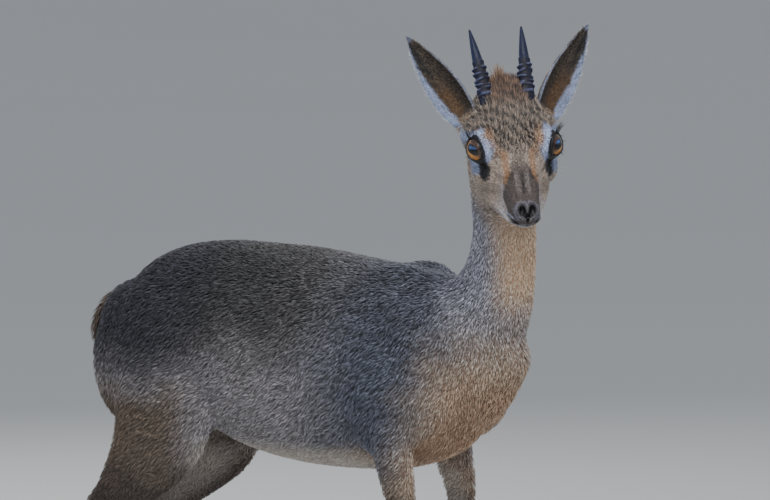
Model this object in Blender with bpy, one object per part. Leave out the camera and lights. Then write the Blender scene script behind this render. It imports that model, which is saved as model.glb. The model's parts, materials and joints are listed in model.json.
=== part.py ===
"""A male dik-dik, life size, standing square with its head turned to its right.

The animal faces +X, its left side is +Y and its feet stand on z = 0. Places on the trunk, the neck
and the legs are measured from the point on the floor below the withers. Places on the head are
measured from the point midway between the eyes: along the face, to the animal's left, and up.
"""

import math
import random

import bmesh
import bpy
import numpy as np
from mathutils import Matrix, Vector

# The gap that neighbouring pieces keep.
GAP = 0.0003

# The model's middle, seen from the withers, which becomes the origin.
MIDDLE_X = -0.0713
MIDDLE_Y = -0.0058

# The two sides of the animal, as signs of y.
SIDES = {"right": -1, "left": 1}

# Trunk: place along the back, height of the back, height of the belly, half width.
TRUNK = (
    (-0.250, 0.340, 0.290, 0.034),
    (-0.240, 0.353, 0.274, 0.040),
    (-0.224, 0.3665, 0.260, 0.045),
    (-0.198, 0.377, 0.251, 0.048),
    (-0.160, 0.383, 0.246, 0.050),
    (-0.120, 0.383, 0.234, 0.054),
    (-0.080, 0.381, 0.2285, 0.054),
    (-0.040, 0.377, 0.228, 0.050),
    (0.000, 0.374, 0.232, 0.044),
    (0.040, 0.371, 0.248, 0.037),
    (0.066, 0.354, 0.268, 0.030),
    (0.079, 0.338, 0.290, 0.022),
)

# Neck: middle of the neck, half width, half depth.
NECK = (
    (0.022, 0.0, 0.318, 0.035, 0.047),
    (0.052, 0.0, 0.333, 0.033, 0.041),
    (0.071, 0.0, 0.352, 0.026, 0.0335),
    (0.080, 0.0, 0.377, 0.0215, 0.0265),
    (0.083, -0.0005, 0.403, 0.0205, 0.0240),
    (0.082, -0.0020, 0.430, 0.0210, 0.0240),
    (0.081, -0.0040, 0.452, 0.0210, 0.0230),
)

# Flesh over the bones on each side: middle, three radii, lean in degrees about y.
MUSCLES = (
    ((0.022, 0.026, 0.312), (0.034, 0.016, 0.058), -38),
    ((0.029, 0.030, 0.278), (0.034, 0.017, 0.026), -25),
    ((0.004, 0.033, 0.281), (0.032, 0.018, 0.042), 0),
    ((0.054, 0.014, 0.314), (0.036, 0.021, 0.042), 0),
    ((-0.200, 0.030, 0.300), (0.052, 0.023, 0.060), 12),
    ((-0.233, 0.023, 0.294), (0.036, 0.023, 0.048), 0),
    ((-0.228, 0.014, 0.318), (0.038, 0.032, 0.036), 20),
    ((0.004, 0.0145, 0.3645), (0.026, 0.0105, 0.0125), 4),
)

# Legs, from inside the trunk to the coronet: middle, half width, half depth.
FORELEG = (
    (0.008, 0.036, 0.262, 0.0140, 0.0200),
    (0.012, 0.038, 0.240, 0.0120, 0.0165),
    (0.018, 0.0385, 0.214, 0.0105, 0.0135),
    (0.020, 0.0375, 0.182, 0.0088, 0.0105),
    (0.021, 0.0365, 0.152, 0.0076, 0.0084),
    (0.0215, 0.036, 0.133, 0.0086, 0.0090),
    (0.021, 0.0355, 0.115, 0.0070, 0.0074),
    (0.020, 0.035, 0.083, 0.0060, 0.0062),
    (0.0195, 0.0345, 0.052, 0.0062, 0.0064),
    (0.020, 0.034, 0.037, 0.0082, 0.0084),
    (0.0240, 0.034, 0.026, 0.0080, 0.0068),
    (0.0285, 0.034, 0.015, 0.0092, 0.0078),
)
HINDLEG = (
    (-0.196, 0.033, 0.292, 0.0200, 0.0480),
    (-0.195, 0.037, 0.262, 0.0185, 0.0460),
    (-0.203, 0.040, 0.238, 0.0165, 0.0390),
    (-0.220, 0.041, 0.216, 0.0140, 0.0285),
    (-0.243, 0.0405, 0.194, 0.0108, 0.0185),
    (-0.264, 0.0390, 0.172, 0.0088, 0.0120),
    (-0.276, 0.0380, 0.151, 0.0084, 0.0106),
    (-0.276, 0.0375, 0.131, 0.0070, 0.0082),
    (-0.271, 0.0370, 0.096, 0.0061, 0.0065),
    (-0.2655, 0.0365, 0.058, 0.0062, 0.0066),
    (-0.2620, 0.0360, 0.039, 0.0082, 0.0085),
    (-0.2570, 0.0360, 0.027, 0.0080, 0.0068),
    (-0.2525, 0.0360, 0.015, 0.0092, 0.0078),
)
# The tendon behind each hind leg, down to the point of the hock: middle and radius.
TENDON = (
    (-0.256, 0.0395, 0.2020, 0.0060),
    (-0.271, 0.0390, 0.1840, 0.0048),
    (-0.2825, 0.0385, 0.1680, 0.0062),
    (-0.2820, 0.0380, 0.1560, 0.0068),
)

# How far each leg stands ahead of the place given above.
STEP_AHEAD = {"right": {"fore": 0.004, "hind": 0.0}, "left": {"fore": -0.006, "hind": -0.012}}

# Where the head is, and how it is turned, nodded and tipped.
BETWEEN_EYES = Vector((0.1160, -0.0304, 0.462))
HEAD_TURN = math.radians(-43.0)
HEAD_NOD = math.radians(39.5)
HEAD_TIP = math.radians(3.4)

# Skull and muzzle: place along the face, height of the middle, half width, half depth.
SKULL = (
    (-0.062, -0.013, 0.015, 0.013),
    (-0.050, -0.012, 0.0240, 0.0235),
    (-0.032, -0.012, 0.0280, 0.0275),
    (-0.014, -0.013, 0.0275, 0.0285),
    (0.000, -0.013, 0.0260, 0.0275),
    (0.013, -0.0125, 0.0225, 0.0245),
    (0.026, -0.0115, 0.0165, 0.0210),
    (0.039, -0.0100, 0.0125, 0.0175),
    (0.050, -0.0085, 0.0112, 0.0140),
    (0.0575, -0.0068, 0.0103, 0.0110),
    (0.0615, -0.0045, 0.0088, 0.0078),
)

# Flesh on each side of the head: middle, three radii, lean in degrees about y.
HEAD_FLESH = (
    ((-0.002, 0.0150, -0.031), (0.024, 0.0105, 0.015), 0),
    ((0.0035, 0.0215, -0.0150), (0.0150, 0.0085, 0.0100), 0),
    ((-0.008, 0.0160, -0.001), (0.0230, 0.0125, 0.0140), 0),
    ((0.010, 0.0155, -0.012), (0.0160, 0.0085, 0.0120), 0),
    ((0.053, 0.0045, -0.0125), (0.010, 0.0062, 0.0055), 0),
    ((0.0600, 0.0036, -0.0005), (0.0065, 0.0050, 0.0058), 0),
    ((0.0470, 0.0070, -0.0170), (0.0135, 0.0064, 0.0052), -18),
    ((-0.0240, 0.0265, -0.0090), (0.0100, 0.0068, 0.0115), 0),
)
# The lower jaw on each side, from the chin to its angle: middle and radius.
JAW = (
    (0.0525, 0.0042, -0.0178, 0.0048),
    (0.037, 0.0095, -0.0222, 0.0065),
    (0.017, 0.0145, -0.0275, 0.0080),
    (-0.006, 0.0170, -0.0325, 0.0095),
)
CHIN = ((0.0515, 0, -0.0170), (0.0095, 0.0065, 0.0045), 0)

# Where the neck is parted from the trunk and from the head.
NECK_BASE = Vector((0.062, 0, 0.345))
NECK_BASE_OUT = Vector((0.76, 0, 0.65))
HEAD_BASE = Vector((0.0825, 0.003, 0.434))
HEAD_BASE_OUT = Vector((0.52, -0.50, 0.69))

# Where each left leg's flesh is parted from the trunk: points, and directions out of the leg.
LEG_PLANES = {
    "fore": (
        ((0, 0.006, 0.226), (0, -0.815, 0.579)),
        ((0.044, 0, 0.25), (1, 0, 0.1)),
        ((-0.030, 0, 0.25), (-1, 0, 0)),
    ),
    "hind": (
        ((0, 0.004, 0.244), (0, -0.865, 0.5)),
        ((-0.147, 0, 0.25), (0.976, 0, 0.22)),
    ),
}
MIDLINE_KEPT = 0.001

# Grain of the skins, and how many faces they keep: the body, and the head before its locks.
BODY_GRAIN = 0.003
HEAD_GRAIN = 0.0018
BODY_FACES = 4400
HEAD_FACES = 2400

# Rounds of easing for the trunk and the head, and the height below which legs are eased less.
BODY_ROUNDS = 18
HEAD_ROUNDS = 7
STIFF_BELOW = 0.17
STIFF_FADE = 0.06
STIFF_LEAST = 0.12

EYE_RADIUS = 0.0118
EYE_SIDE = 0.0208
EYE_UP = 0.0
EYE_OUTWARD = math.radians(50)
EYE_UPWARD = math.radians(6)
LID_THICKNESS = 0.0014
LID_HALF_LENGTH = 0.0090
LID_HALF_HEIGHT = 0.0067
LID_TILT = math.radians(20)

# Nostrils and the line of the mouth, each on the animal's left and mirrored.
NOSTRIL = (0.0640, 0.0038, 0.0024)
NOSTRIL_RADII = (0.0040, 0.0023, 0.0024)
MOUTH = (
    (0.0365, 0.0148, -0.0190),
    (0.0430, 0.0140, -0.0172),
    (0.0528, 0.0112, -0.0135),
    (0.0590, 0.0090, -0.0105),
    (0.0640, 0.0055, -0.0080),
    (0.0668, 0.0000, -0.0068),
)
MOUTH_HALF_HEIGHT = 0.0005
MOUTH_DEPTH = 0.0022

# Ears, told from the level head: ahead, to the side, up.
EAR_ROOT = (-0.0333, 0.0262, -0.0080)
EAR_LENGTH = 0.0740
EAR_AXIS = (-0.020, 0.0335, 0.0565)
EAR_OPENING = (0.80, 0.55, 0.10)
EAR_THICKNESS = 0.0013
EAR_SOLID_TO = 0.08
EAR_OPEN_FROM = 0.30
# Share of the length, half width, depth of the cup.
EAR = (
    (0.00, 0.0085, 0.0085),
    (0.15, 0.0114, 0.0105),
    (0.35, 0.0128, 0.0098),
    (0.55, 0.0114, 0.0078),
    (0.75, 0.0078, 0.0048),
    (0.90, 0.0041, 0.0025),
    (1.00, 0.0010, 0.0006),
)

# Horns, told from the level head. They lean back and their tips lean back more.
HORN_ROOT = (-0.0375, 0.0138, 0.0090)
HORN_LENGTH = 0.0550
HORN_RADIUS = 0.0051
HORN_TIP_RADIUS = 0.0009
HORN_TAPER = 2.1
HORN_RINGS = 7
HORN_RINGED = 0.58
HORN_RING_RISE = 0.0009
HORN_LEAN = math.radians(24)
HORN_CURVE = math.radians(14)
# How far each horn leans out, the right one more than the left.
HORN_SPREAD = {-1: math.radians(6.0), 1: math.radians(2.4)}

# The tuft of stiff hair on the forehead, as locks: where they root and how they lie.
CREST_CORE = ((-0.040, 0, 0.0065), (0.020, 0.0120, 0.0080))
CREST_LOCKS = 28
CREST_FRONT = -0.006
CREST_BACK = -0.050
CREST_HALF_WIDTH = 0.0115
LOCK_LENGTH = 0.0260
LOCK_WIDTH = 0.0078
LOCK_THICKNESS = 0.0030
LOCK_SINK = 0.0028
# How steeply locks rise at the front and at the back of the crest, and how much they bend over.
LOCK_RISE = (0.16, 0.75)
LOCK_BEND = (0.35, 0.55)

# Hooves: two toes to a foot, pointed ahead, under a coronet that slopes up to the front.
TOE_SIDE = 0.0048
TOE_HALF_WIDTH = 0.0043
TOE_AHEAD = 0.0165
TOE_BEHIND = 0.0090
CORONET_HEIGHT = 0.0125
CORONET_SLOPE = 0.45
CORONET_AHEAD = 0.0062
CORONET_BEHIND = 0.0078

TAIL = (
    (-0.262, 0.0, 0.336, 0.0085, 0.0080),
    (-0.275, 0.0, 0.330, 0.0090, 0.0075),
    (-0.2845, 0.0, 0.316, 0.0090, 0.0065),
    (-0.2865, 0.0, 0.298, 0.0060, 0.0042),
)


# Edges bent more than this stay crisp.
CRISP_FROM = math.radians(38)

# Colour and roughness of each kind of piece.
COLOURS = {
    "torso": ((0.150, 0.125, 0.110), 0.85),
    "neck": ((0.330, 0.245, 0.180), 0.85),
    "head": ((0.360, 0.250, 0.170), 0.80),
    "foreleg": ((0.420, 0.250, 0.130), 0.80),
    "hindleg": ((0.260, 0.180, 0.130), 0.80),
    "tail": ((0.130, 0.095, 0.075), 0.85),
    "ear": ((0.190, 0.150, 0.130), 0.75),
    "horn": ((0.030, 0.031, 0.036), 0.45),
    "eye": ((0.120, 0.045, 0.012), 0.08),
    "hoof": ((0.020, 0.018, 0.017), 0.50),
}


def cubic(rows, steps):
    """Rows of numbers read off a smooth curve through the given rows."""
    rows = np.array(rows, float)
    ends = np.vstack((2 * rows[0] - rows[1], rows, 2 * rows[-1] - rows[-2]))
    read = []
    for one, two, three, four in zip(ends, ends[1:], ends[2:], ends[3:]):
        for t in np.arange(steps) / steps:
            straight = 2 * two + (three - one) * t
            bend = (2 * one - 5 * two + 4 * three - four) * t**2
            twist = (3 * two - one - 3 * three + four) * t**3
            read.append((straight + bend + twist) / 2)
    read.append(rows[-1])
    return np.array(read)


def mesh_object(name, form):
    """A named object with the bmesh's faces, turned outwards."""
    bmesh.ops.recalc_face_normals(form, faces=form.faces)
    mesh = bpy.data.meshes.new(name)
    form.to_mesh(mesh)
    form.free()
    made = bpy.data.objects.new(name, mesh)
    bpy.context.collection.objects.link(made)
    return made


def add_rings(form, rings):
    """A closed skin over rings of points, with a flat cap at each end."""
    rows = [[form.verts.new(point) for point in ring] for ring in rings]
    count = len(rows[0])
    for low, high in zip(rows, rows[1:]):
        for side in range(count):
            after = (side + 1) % count
            form.faces.new((low[side], low[after], high[after], high[side]))
    form.faces.new(rows[0][::-1])
    form.faces.new(rows[-1])


def add_tube(form, rows, across, sides=20, steps=4, power=2.0, place=Matrix(), rounded=True):
    """A tube along rows of middle, half size across and half size the other way, with round ends."""
    rows = cubic(rows, steps)
    middles = rows[:, :3]
    ahead = np.gradient(middles, axis=0)
    ahead /= np.linalg.norm(ahead, axis=1)[:, None]
    side = np.array(across) - ahead * (ahead @ np.array(across))[:, None]
    side /= np.linalg.norm(side, axis=1)[:, None]
    other = np.cross(ahead, side)
    angles = np.arange(sides) * 2 * math.pi / sides
    wide = np.sign(np.cos(angles)) * np.abs(np.cos(angles)) ** (2 / power)
    deep = np.sign(np.sin(angles)) * np.abs(np.sin(angles)) ** (2 / power)

    def ring(row, out, shrink):
        middle = middles[row] + ahead[row] * out
        points = np.outer(wide, side[row]) * rows[row, 3] + np.outer(deep, other[row]) * rows[row, 4]
        return [place @ Vector(point) for point in middle + points * shrink]

    first, last = rows[0, 3:].min(), rows[-1, 3:].min()
    turns = [math.radians(angle) for angle in (75, 50, 25)] if rounded else []
    rings = [ring(0, -first * math.sin(turn), math.cos(turn)) for turn in turns]
    rings += [ring(row, 0, 1) for row in range(len(rows))]
    rings += [ring(-1, last * math.sin(turn), math.cos(turn)) for turn in reversed(turns)]
    add_rings(form, rings)


def add_ball(form, middle, radii, lean=0, place=Matrix(), fineness=3):
    """An egg shape with three radii, leaning by an angle in degrees about y."""
    size = Matrix.Diagonal((*radii, 1))
    where = place @ Matrix.Translation(middle) @ Matrix.Rotation(math.radians(lean), 4, "Y") @ size
    bmesh.ops.create_icosphere(form, subdivisions=fineness, radius=1, matrix=where)


def mirrored(point, sign):
    """The same place on the animal's other side when the sign is -1."""
    return Vector((point[0], point[1] * sign, point[2]))


def evaluated(made, name):
    """The object's mesh as its modifiers leave it, in a new object; the old one goes."""
    bpy.context.view_layer.update()
    read = made.evaluated_get(bpy.context.evaluated_depsgraph_get())
    mesh = bpy.data.meshes.new_from_object(read)
    bpy.data.objects.remove(made)
    result = bpy.data.objects.new(name, mesh)
    bpy.context.collection.objects.link(result)
    return result


def fused(form, name, voxel, rounds, faces, stiff_below=0.0):
    """One smooth closed skin round all the shapes in the bmesh, thinned to about so many faces.

    What stands lower than stiff_below is eased less, so that thin legs keep their girth.
    """
    made = mesh_object(name, form)
    wrap = made.modifiers.new("wrap", "REMESH")
    wrap.mode = "VOXEL"
    wrap.voxel_size = voxel
    made = evaluated(made, name)
    soft = made.vertex_groups.new(name="soft")
    for vert in made.data.vertices:
        weight = (vert.co.z - stiff_below) / STIFF_FADE
        soft.add([vert.index], min(max(weight, STIFF_LEAST), 1), "REPLACE")
    ease = made.modifiers.new("ease", "SMOOTH")
    ease.factor = 0.5
    ease.iterations = rounds
    ease.vertex_group = "soft"
    made = evaluated(made, name)
    made.data.calc_loop_triangles()
    thin = made.modifiers.new("thin", "DECIMATE")
    thin.ratio = faces / len(made.data.loop_triangles)
    return evaluated(made, name)


def keep_largest(made):
    """Drops every closed surface of the object but the largest."""
    form = bmesh.new()
    form.from_mesh(made.data)
    unseen = set(form.verts)
    shells = []
    while unseen:
        shell = set()
        edge = [unseen.pop()]
        while edge:
            vert = edge.pop()
            shell.add(vert)
            near = {link.other_vert(vert) for link in vert.link_edges}
            edge += near & unseen
            unseen -= near
        shells.append(shell)
    largest = max(shells, key=len)
    loose = [vert for shell in shells if shell is not largest for vert in shell]
    bmesh.ops.delete(form, geom=loose, context="VERTS")
    form.to_mesh(made.data)
    form.free()


def cut(made, cutter, operation="DIFFERENCE", whole=True):
    """The object after a Boolean with the cutter, which goes."""
    name = made.name
    change = made.modifiers.new("cut", "BOOLEAN")
    change.operation = operation
    change.object = cutter
    result = evaluated(made, name)
    bpy.data.objects.remove(cutter)
    if whole:
        keep_largest(result)
    return result


def copied(made, name):
    """A second object with its own copy of the mesh."""
    copy = bpy.data.objects.new(name, made.data.copy())
    bpy.context.collection.objects.link(copy)
    return copy


def region(planes, grow=0.0):
    """A block bounded by planes, each a point and the direction out of the block."""
    form = bmesh.new()
    bmesh.ops.create_cube(form, size=2.0)
    for point, out in planes:
        out = Vector(out).normalized()
        every = form.verts[:] + form.edges[:] + form.faces[:]
        sliced = bmesh.ops.bisect_plane(
            form, geom=every, plane_co=Vector(point) + out * grow, plane_no=out, clear_outer=True
        )
        rim = [item for item in sliced["geom_cut"] if isinstance(item, bmesh.types.BMEdge)]
        bmesh.ops.edgenet_fill(form, edges=rim)
    return mesh_object("region", form)


def head_place():
    """The matrix that carries a place on the head to its place on the animal."""
    turn = Matrix.Rotation(HEAD_TURN, 4, "Z")
    tip = Matrix.Rotation(HEAD_TIP, 4, "X")
    nod = Matrix.Rotation(HEAD_NOD, 4, "Y")
    return Matrix.Translation(BETWEEN_EYES) @ turn @ tip @ nod


def level_to_head(direction):
    """A direction given level (ahead, left, up), in the nodded head's own axes."""
    return Matrix.Rotation(-HEAD_NOD, 3, "Y") @ Vector(direction)


def body_form():
    """The trunk, the neck and the legs as overlapping shapes."""
    form = bmesh.new()
    trunk = [(x, 0, (top + low) / 2, half, (top - low) / 2) for x, top, low, half in TRUNK]
    add_tube(form, trunk, (0, 1, 0), sides=28, power=2.2)
    add_tube(form, NECK, (0, 1, 0))
    for side, sign in SIDES.items():
        for middle, radii, lean in MUSCLES:
            add_ball(form, mirrored(middle, sign), radii, lean)
        for leg, places in {"fore": FORELEG, "hind": HINDLEG}.items():
            step = STEP_AHEAD[side][leg]
            rows = [(x + step, y * sign, z, half, deep) for x, y, z, half, deep in places]
            add_tube(form, rows, (0, 1, 0), sides=16)
        step = STEP_AHEAD[side]["hind"]
        rows = [(x + step, y * sign, z, radius, radius) for x, y, z, radius in TENDON]
        add_tube(form, rows, (0, 1, 0), sides=12)
    return form


def head_form():
    """The skull, the jaw and the top of the neck as overlapping shapes."""
    form = bmesh.new()
    place = head_place()
    skull = [(x, 0, z, half, deep) for x, z, half, deep in SKULL]
    add_tube(form, skull, (0, 1, 0), place=place, power=2.15)
    add_tube(form, NECK[2:], (0, 1, 0))
    add_ball(form, *CHIN, place=place)
    add_ball(form, *CREST_CORE, place=place)
    for sign in SIDES.values():
        for middle, radii, lean in HEAD_FLESH:
            add_ball(form, mirrored(middle, sign), radii, lean, place)
        jaw = [(x, y * sign, z, radius, radius) for x, y, z, radius in JAW]
        add_tube(form, jaw, (0, 1, 0), sides=12, place=place)
        eye = Vector((0, EYE_SIDE * sign, EYE_UP))
        lid = EYE_RADIUS + LID_THICKNESS
        add_ball(form, eye, (lid, lid, lid), place=place)
    return form


def gaze(sign):
    """The direction in which an eye looks, in the head's axes."""
    level = Vector((math.cos(EYE_OUTWARD), math.sin(EYE_OUTWARD) * sign, math.sin(EYE_UPWARD)))
    return level_to_head(level).normalized()


def cut_head(head):
    """The head with the hollows that hold the eyes and part the lids, and the nostrils and mouth."""
    place = head_place()
    for sign in SIDES.values():
        middle = Vector((0, EYE_SIDE * sign, EYE_UP))
        form = bmesh.new()
        add_ball(form, middle, (EYE_RADIUS + GAP,) * 3, place=place)
        head = cut(head, mesh_object("socket", form), whole=False)
        head = cut(head, lid_opening(middle, sign))
        form = bmesh.new()
        add_ball(form, mirrored(NOSTRIL, sign), NOSTRIL_RADII, place=place, fineness=2)
        head = cut(head, mesh_object("nostril", form))
    right = [(x, -y, z) for x, y, z in MOUTH]
    path = right + [point for point in MOUTH[-2::-1]]
    rows = [(*point, MOUTH_HALF_HEIGHT, MOUTH_DEPTH) for point in path]
    form = bmesh.new()
    add_tube(form, rows, (0, 0, 1), sides=6, steps=3, place=place)
    return cut(head, mesh_object("mouth", form))


def lid_opening(middle, sign):
    """The almond-shaped gap between the lids, as a block in front of the eye."""
    look = gaze(sign)
    up = (Vector((0, 0, 1)) - look * look.z).normalized()
    ahead = up.cross(look) * -sign
    slant = ahead * math.cos(LID_TILT) - up * math.sin(LID_TILT)
    rise = up * math.cos(LID_TILT) + ahead * math.sin(LID_TILT)
    count = 20
    outline = []
    for step in range(count):
        angle = 2 * math.pi * step / count
        outline.append(
            slant * LID_HALF_LENGTH * math.cos(angle)
            + rise * LID_HALF_HEIGHT * math.sin(angle) * abs(math.sin(angle)) ** 0.4
        )
    form = bmesh.new()
    near, far = look * EYE_RADIUS * 0.3, look * EYE_RADIUS * 1.6
    place = head_place()
    add_rings(form, [[place @ (middle + at + point) for point in outline] for at in (near, far)])
    return mesh_object("lid_opening", form)


def add_ear(form, sign, grow=0.0):
    """An ear as a cupped leaf: an outer skin, and an inner one that closes over the root."""
    axis = level_to_head(mirrored(EAR_AXIS, sign)).normalized()
    opening = level_to_head(mirrored(EAR_OPENING, sign))
    opening = (opening - axis * opening.dot(axis)).normalized()
    side = axis.cross(opening)
    root = mirrored(EAR_ROOT, sign)
    place = head_place()
    angles = [math.radians(angle) for angle in range(-90, 91, 18)]
    rings = []
    for share, half, depth in cubic(EAR, 2):
        half, depth = half + grow, depth + grow
        wall = min(EAR_THICKNESS, half * 0.45, depth * 0.45)
        opened = min(max((share - EAR_SOLID_TO) / (EAR_OPEN_FROM - EAR_SOLID_TO), 0), 1)
        opened = opened * opened * (3 - 2 * opened)
        front = (1 - opened) * depth * 0.35 - opened * (depth - wall)
        middle = root + axis * (EAR_LENGTH * share - grow * (share == 0))
        ring = [middle + side * half * math.sin(a) - opening * depth * math.cos(a) for a in angles]
        for a in angles[::-1]:
            ring.append(middle + side * (half - wall) * math.sin(a) + opening * front * math.cos(a))
        rings.append([place @ point for point in ring])
    add_rings(form, rings)


def add_horn(form, sign, grow=0.0):
    """A ringed horn with a smooth tip, curving back a little."""
    place = head_place()
    middle = mirrored(HORN_ROOT, sign)
    count = 30
    rows = []
    for step in range(count + 1):
        share = step / count
        lean = HORN_LEAN + HORN_CURVE * share
        level = Vector((-math.sin(lean), math.sin(HORN_SPREAD[sign]) * sign, math.cos(lean)))
        radius = HORN_RADIUS + (HORN_TIP_RADIUS - HORN_RADIUS) * share**HORN_TAPER
        fade = max(0.0, 1 - share / HORN_RINGED)
        wave = 0.5 - 0.5 * math.cos(2 * math.pi * HORN_RINGS * share / HORN_RINGED)
        radius += HORN_RING_RISE * wave * min(1.0, fade * 3) + grow
        rows.append((*middle, radius, radius))
        middle = middle + level_to_head(level) * HORN_LENGTH / count
    add_tube(form, rows, (0, 1, 0), sides=10, steps=1, place=place)


def add_lock(form, root, lie, side, length, width, bend):
    """A flat lock that rises from its root, bends over and tapers to a point."""
    count = 5
    rings = []
    up = side.cross(lie)
    for step in range(count + 1):
        share = step / count
        angle = bend * (1 - share)
        along = lie * math.cos(angle) + up * math.sin(angle)
        across = along.cross(side)
        taper = (1 - share) ** 0.5 if share > 0.3 else 0.78 + 0.06 * share / 0.3
        wide = side * width * max(taper, 0.12) / 2
        thick = across * LOCK_THICKNESS * max(1 - share, 0.2) / 2
        rings.append([root + wide, root + thick, root - wide, root - thick])
        root = root + along * length / count
    add_rings(form, rings)


def crest(head):
    """A collection of locks, rooted in the forehead between the horns."""
    locks = bpy.data.collections.new("locks")
    draw = random.Random(4)
    place = head_place()
    inverse = place.inverted()
    for number in range(CREST_LOCKS):
        share = (number + 0.5) / CREST_LOCKS
        ahead = CREST_FRONT + (CREST_BACK - CREST_FRONT) * share
        aside = draw.uniform(-1, 1) * CREST_HALF_WIDTH * math.sin(math.pi * (0.2 + 0.6 * share))
        start = place @ Vector((ahead, aside, 0.06))
        down = (place.to_3x3() @ Vector((0, 0, -1))).normalized()
        hit, where, _, _ = head.ray_cast(start, down)
        root = inverse @ where + Vector((0, 0, -LOCK_SINK))
        rise = LOCK_RISE[0] + (LOCK_RISE[1] - LOCK_RISE[0]) * share
        lie = Vector((-1, aside * 12 + draw.uniform(-0.15, 0.15), rise)).normalized()
        side = Vector((0, 0, 1)).cross(lie).normalized()
        twist = Matrix.Rotation(draw.uniform(-0.5, 0.5), 3, lie)
        length = LOCK_LENGTH * draw.uniform(0.8, 1.15)
        width = LOCK_WIDTH * draw.uniform(0.85, 1.1)
        form = bmesh.new()
        add_lock(form, root, lie, twist @ side, length, width, draw.uniform(*LOCK_BEND))
        form.transform(place)
        lock = mesh_object(f"lock_{number}", form)
        bpy.context.collection.objects.unlink(lock)
        locks.objects.link(lock)
    return locks


def join_locks(head, locks):
    """The head and its locks as one closed body."""
    bpy.context.scene.collection.children.link(locks)
    change = head.modifiers.new("locks", "BOOLEAN")
    change.operation = "UNION"
    change.solver = "MANIFOLD"
    change.operand_type = "COLLECTION"
    change.collection = locks
    result = evaluated(head, "head")
    for lock in list(locks.objects):
        bpy.data.objects.remove(lock)
    bpy.data.collections.remove(locks)
    keep_largest(result)
    return result


def coronet(x):
    """The plane between the flesh of a foot and its hooves, with the direction out of the flesh."""
    return (x, 0, CORONET_HEIGHT), (CORONET_SLOPE, 0, -1)


def add_hoof(form, x, y, sign):
    """One toe's hoof, from its flat sole up to the sloping coronet."""
    count = 14
    rings = []
    # Share of the height, reach ahead and behind, half width.
    levels = (
        (0.0, TOE_AHEAD, TOE_BEHIND, TOE_HALF_WIDTH),
        (0.45, TOE_AHEAD * 0.72, TOE_BEHIND * 1.02, TOE_HALF_WIDTH * 1.02),
        (1.0, CORONET_AHEAD, CORONET_BEHIND, TOE_HALF_WIDTH * 0.97),
    )
    for share, ahead, behind, half in levels:
        ring = []
        for step in range(count):
            angle = 2 * math.pi * step / count
            along = math.cos(angle)
            reach = ahead if along > 0 else behind
            narrow = 1 - 0.45 * max(along, 0) ** 2
            place = Vector((x + reach * along, y + half * narrow * math.sin(angle), 0))
            place.y -= sign * max(along, 0) ** 2 * half * 0.35 * (1 - share)
            place.z = share * (CORONET_HEIGHT + CORONET_SLOPE * (place.x - x) - GAP)
            ring.append(place)
        rings.append(ring)
    add_rings(form, rings)


def leg_region(side, leg, grow=0.0):
    """The block of space that holds one leg's flesh, with sloping sides towards the trunk."""
    sign = SIDES[side]
    step = STEP_AHEAD[side][leg]
    last = (FORELEG if leg == "fore" else HINDLEG)[-1]
    mid = ((0, MIDLINE_KEPT * sign, 0), (0, -sign, 0))
    foot = coronet(last[0] + step)
    planes = [(mirrored(point, sign), mirrored(out, sign)) for point, out in LEG_PLANES[leg]]
    return region([*planes, mid, foot], grow)


def finish(made):
    """Smooth shading with crisp rims, and the piece's own material."""
    made.data.shade_smooth()
    made.data.set_sharp_from_angle(angle=CRISP_FROM)
    colour, roughness = COLOURS[made.name.split("_")[0]]
    material = bpy.data.materials.new(made.name)
    material.use_nodes = True
    shader = material.node_tree.nodes["Principled BSDF"]
    shader.inputs["Base Color"].default_value = (*colour, 1)
    shader.inputs["Roughness"].default_value = roughness
    shader.inputs["Metallic"].default_value = 0.0
    made.data.materials.clear()
    made.data.materials.append(material)


def main():
    for old in list(bpy.data.objects):
        bpy.data.objects.remove(old)
    place = head_place()
    body = fused(body_form(), "body", BODY_GRAIN, BODY_ROUNDS, BODY_FACES, STIFF_BELOW)
    head = fused(head_form(), "head", HEAD_GRAIN, HEAD_ROUNDS, HEAD_FACES)
    for side in SIDES:
        for leg in ("fore", "hind"):
            name = f"{leg}leg_{side}"
            flesh = copied(body, name)
            cut(flesh, leg_region(side, leg), "INTERSECT")
            body = cut(body, leg_region(side, leg, GAP))
    below, above = (NECK_BASE, -NECK_BASE_OUT), (HEAD_BASE, HEAD_BASE_OUT)
    cut(copied(body, "neck"), region([below, above]), "INTERSECT")
    body = cut(body, region([below], GAP))
    body.name = "torso"
    head = cut(head, region([(HEAD_BASE, -HEAD_BASE_OUT)], -GAP), "INTERSECT")
    form = bmesh.new()
    grown = [(x, y, z, half + GAP, deep + GAP) for x, y, z, half, deep in TAIL]
    add_tube(form, grown, (0, 1, 0), sides=12, steps=3)
    cut(body, mesh_object("tail_socket", form))
    form = bmesh.new()
    add_tube(form, TAIL, (0, 1, 0), sides=12, steps=3)
    mesh_object("tail", form)
    head = cut_head(head)
    head = join_locks(head, crest(head))
    for side, sign in SIDES.items():
        for name, add in (("ear", add_ear), ("horn", add_horn)):
            form = bmesh.new()
            add(form, sign, GAP)
            head = cut(head, mesh_object("socket", form))
            form = bmesh.new()
            add(form, sign)
            mesh_object(f"{name}_{side}", form)
        form = bmesh.new()
        add_ball(form, (0, EYE_SIDE * sign, EYE_UP), (EYE_RADIUS,) * 3, place=place)
        mesh_object(f"eye_{side}", form)
        for leg, places in {"fore": FORELEG, "hind": HINDLEG}.items():
            x, y = places[-1][:2]
            for toe, outward in {"inner": -1, "outer": 1}.items():
                form = bmesh.new()
                y_toe = (y + outward * TOE_SIDE) * sign
                add_hoof(form, x + STEP_AHEAD[side][leg], y_toe, outward * sign)
                mesh_object(f"hoof_{leg}_{side}_{toe}", form)
    for made in bpy.data.objects:
        made.location = (-MIDDLE_X, -MIDDLE_Y, 0)
        finish(made)


main()
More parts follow.
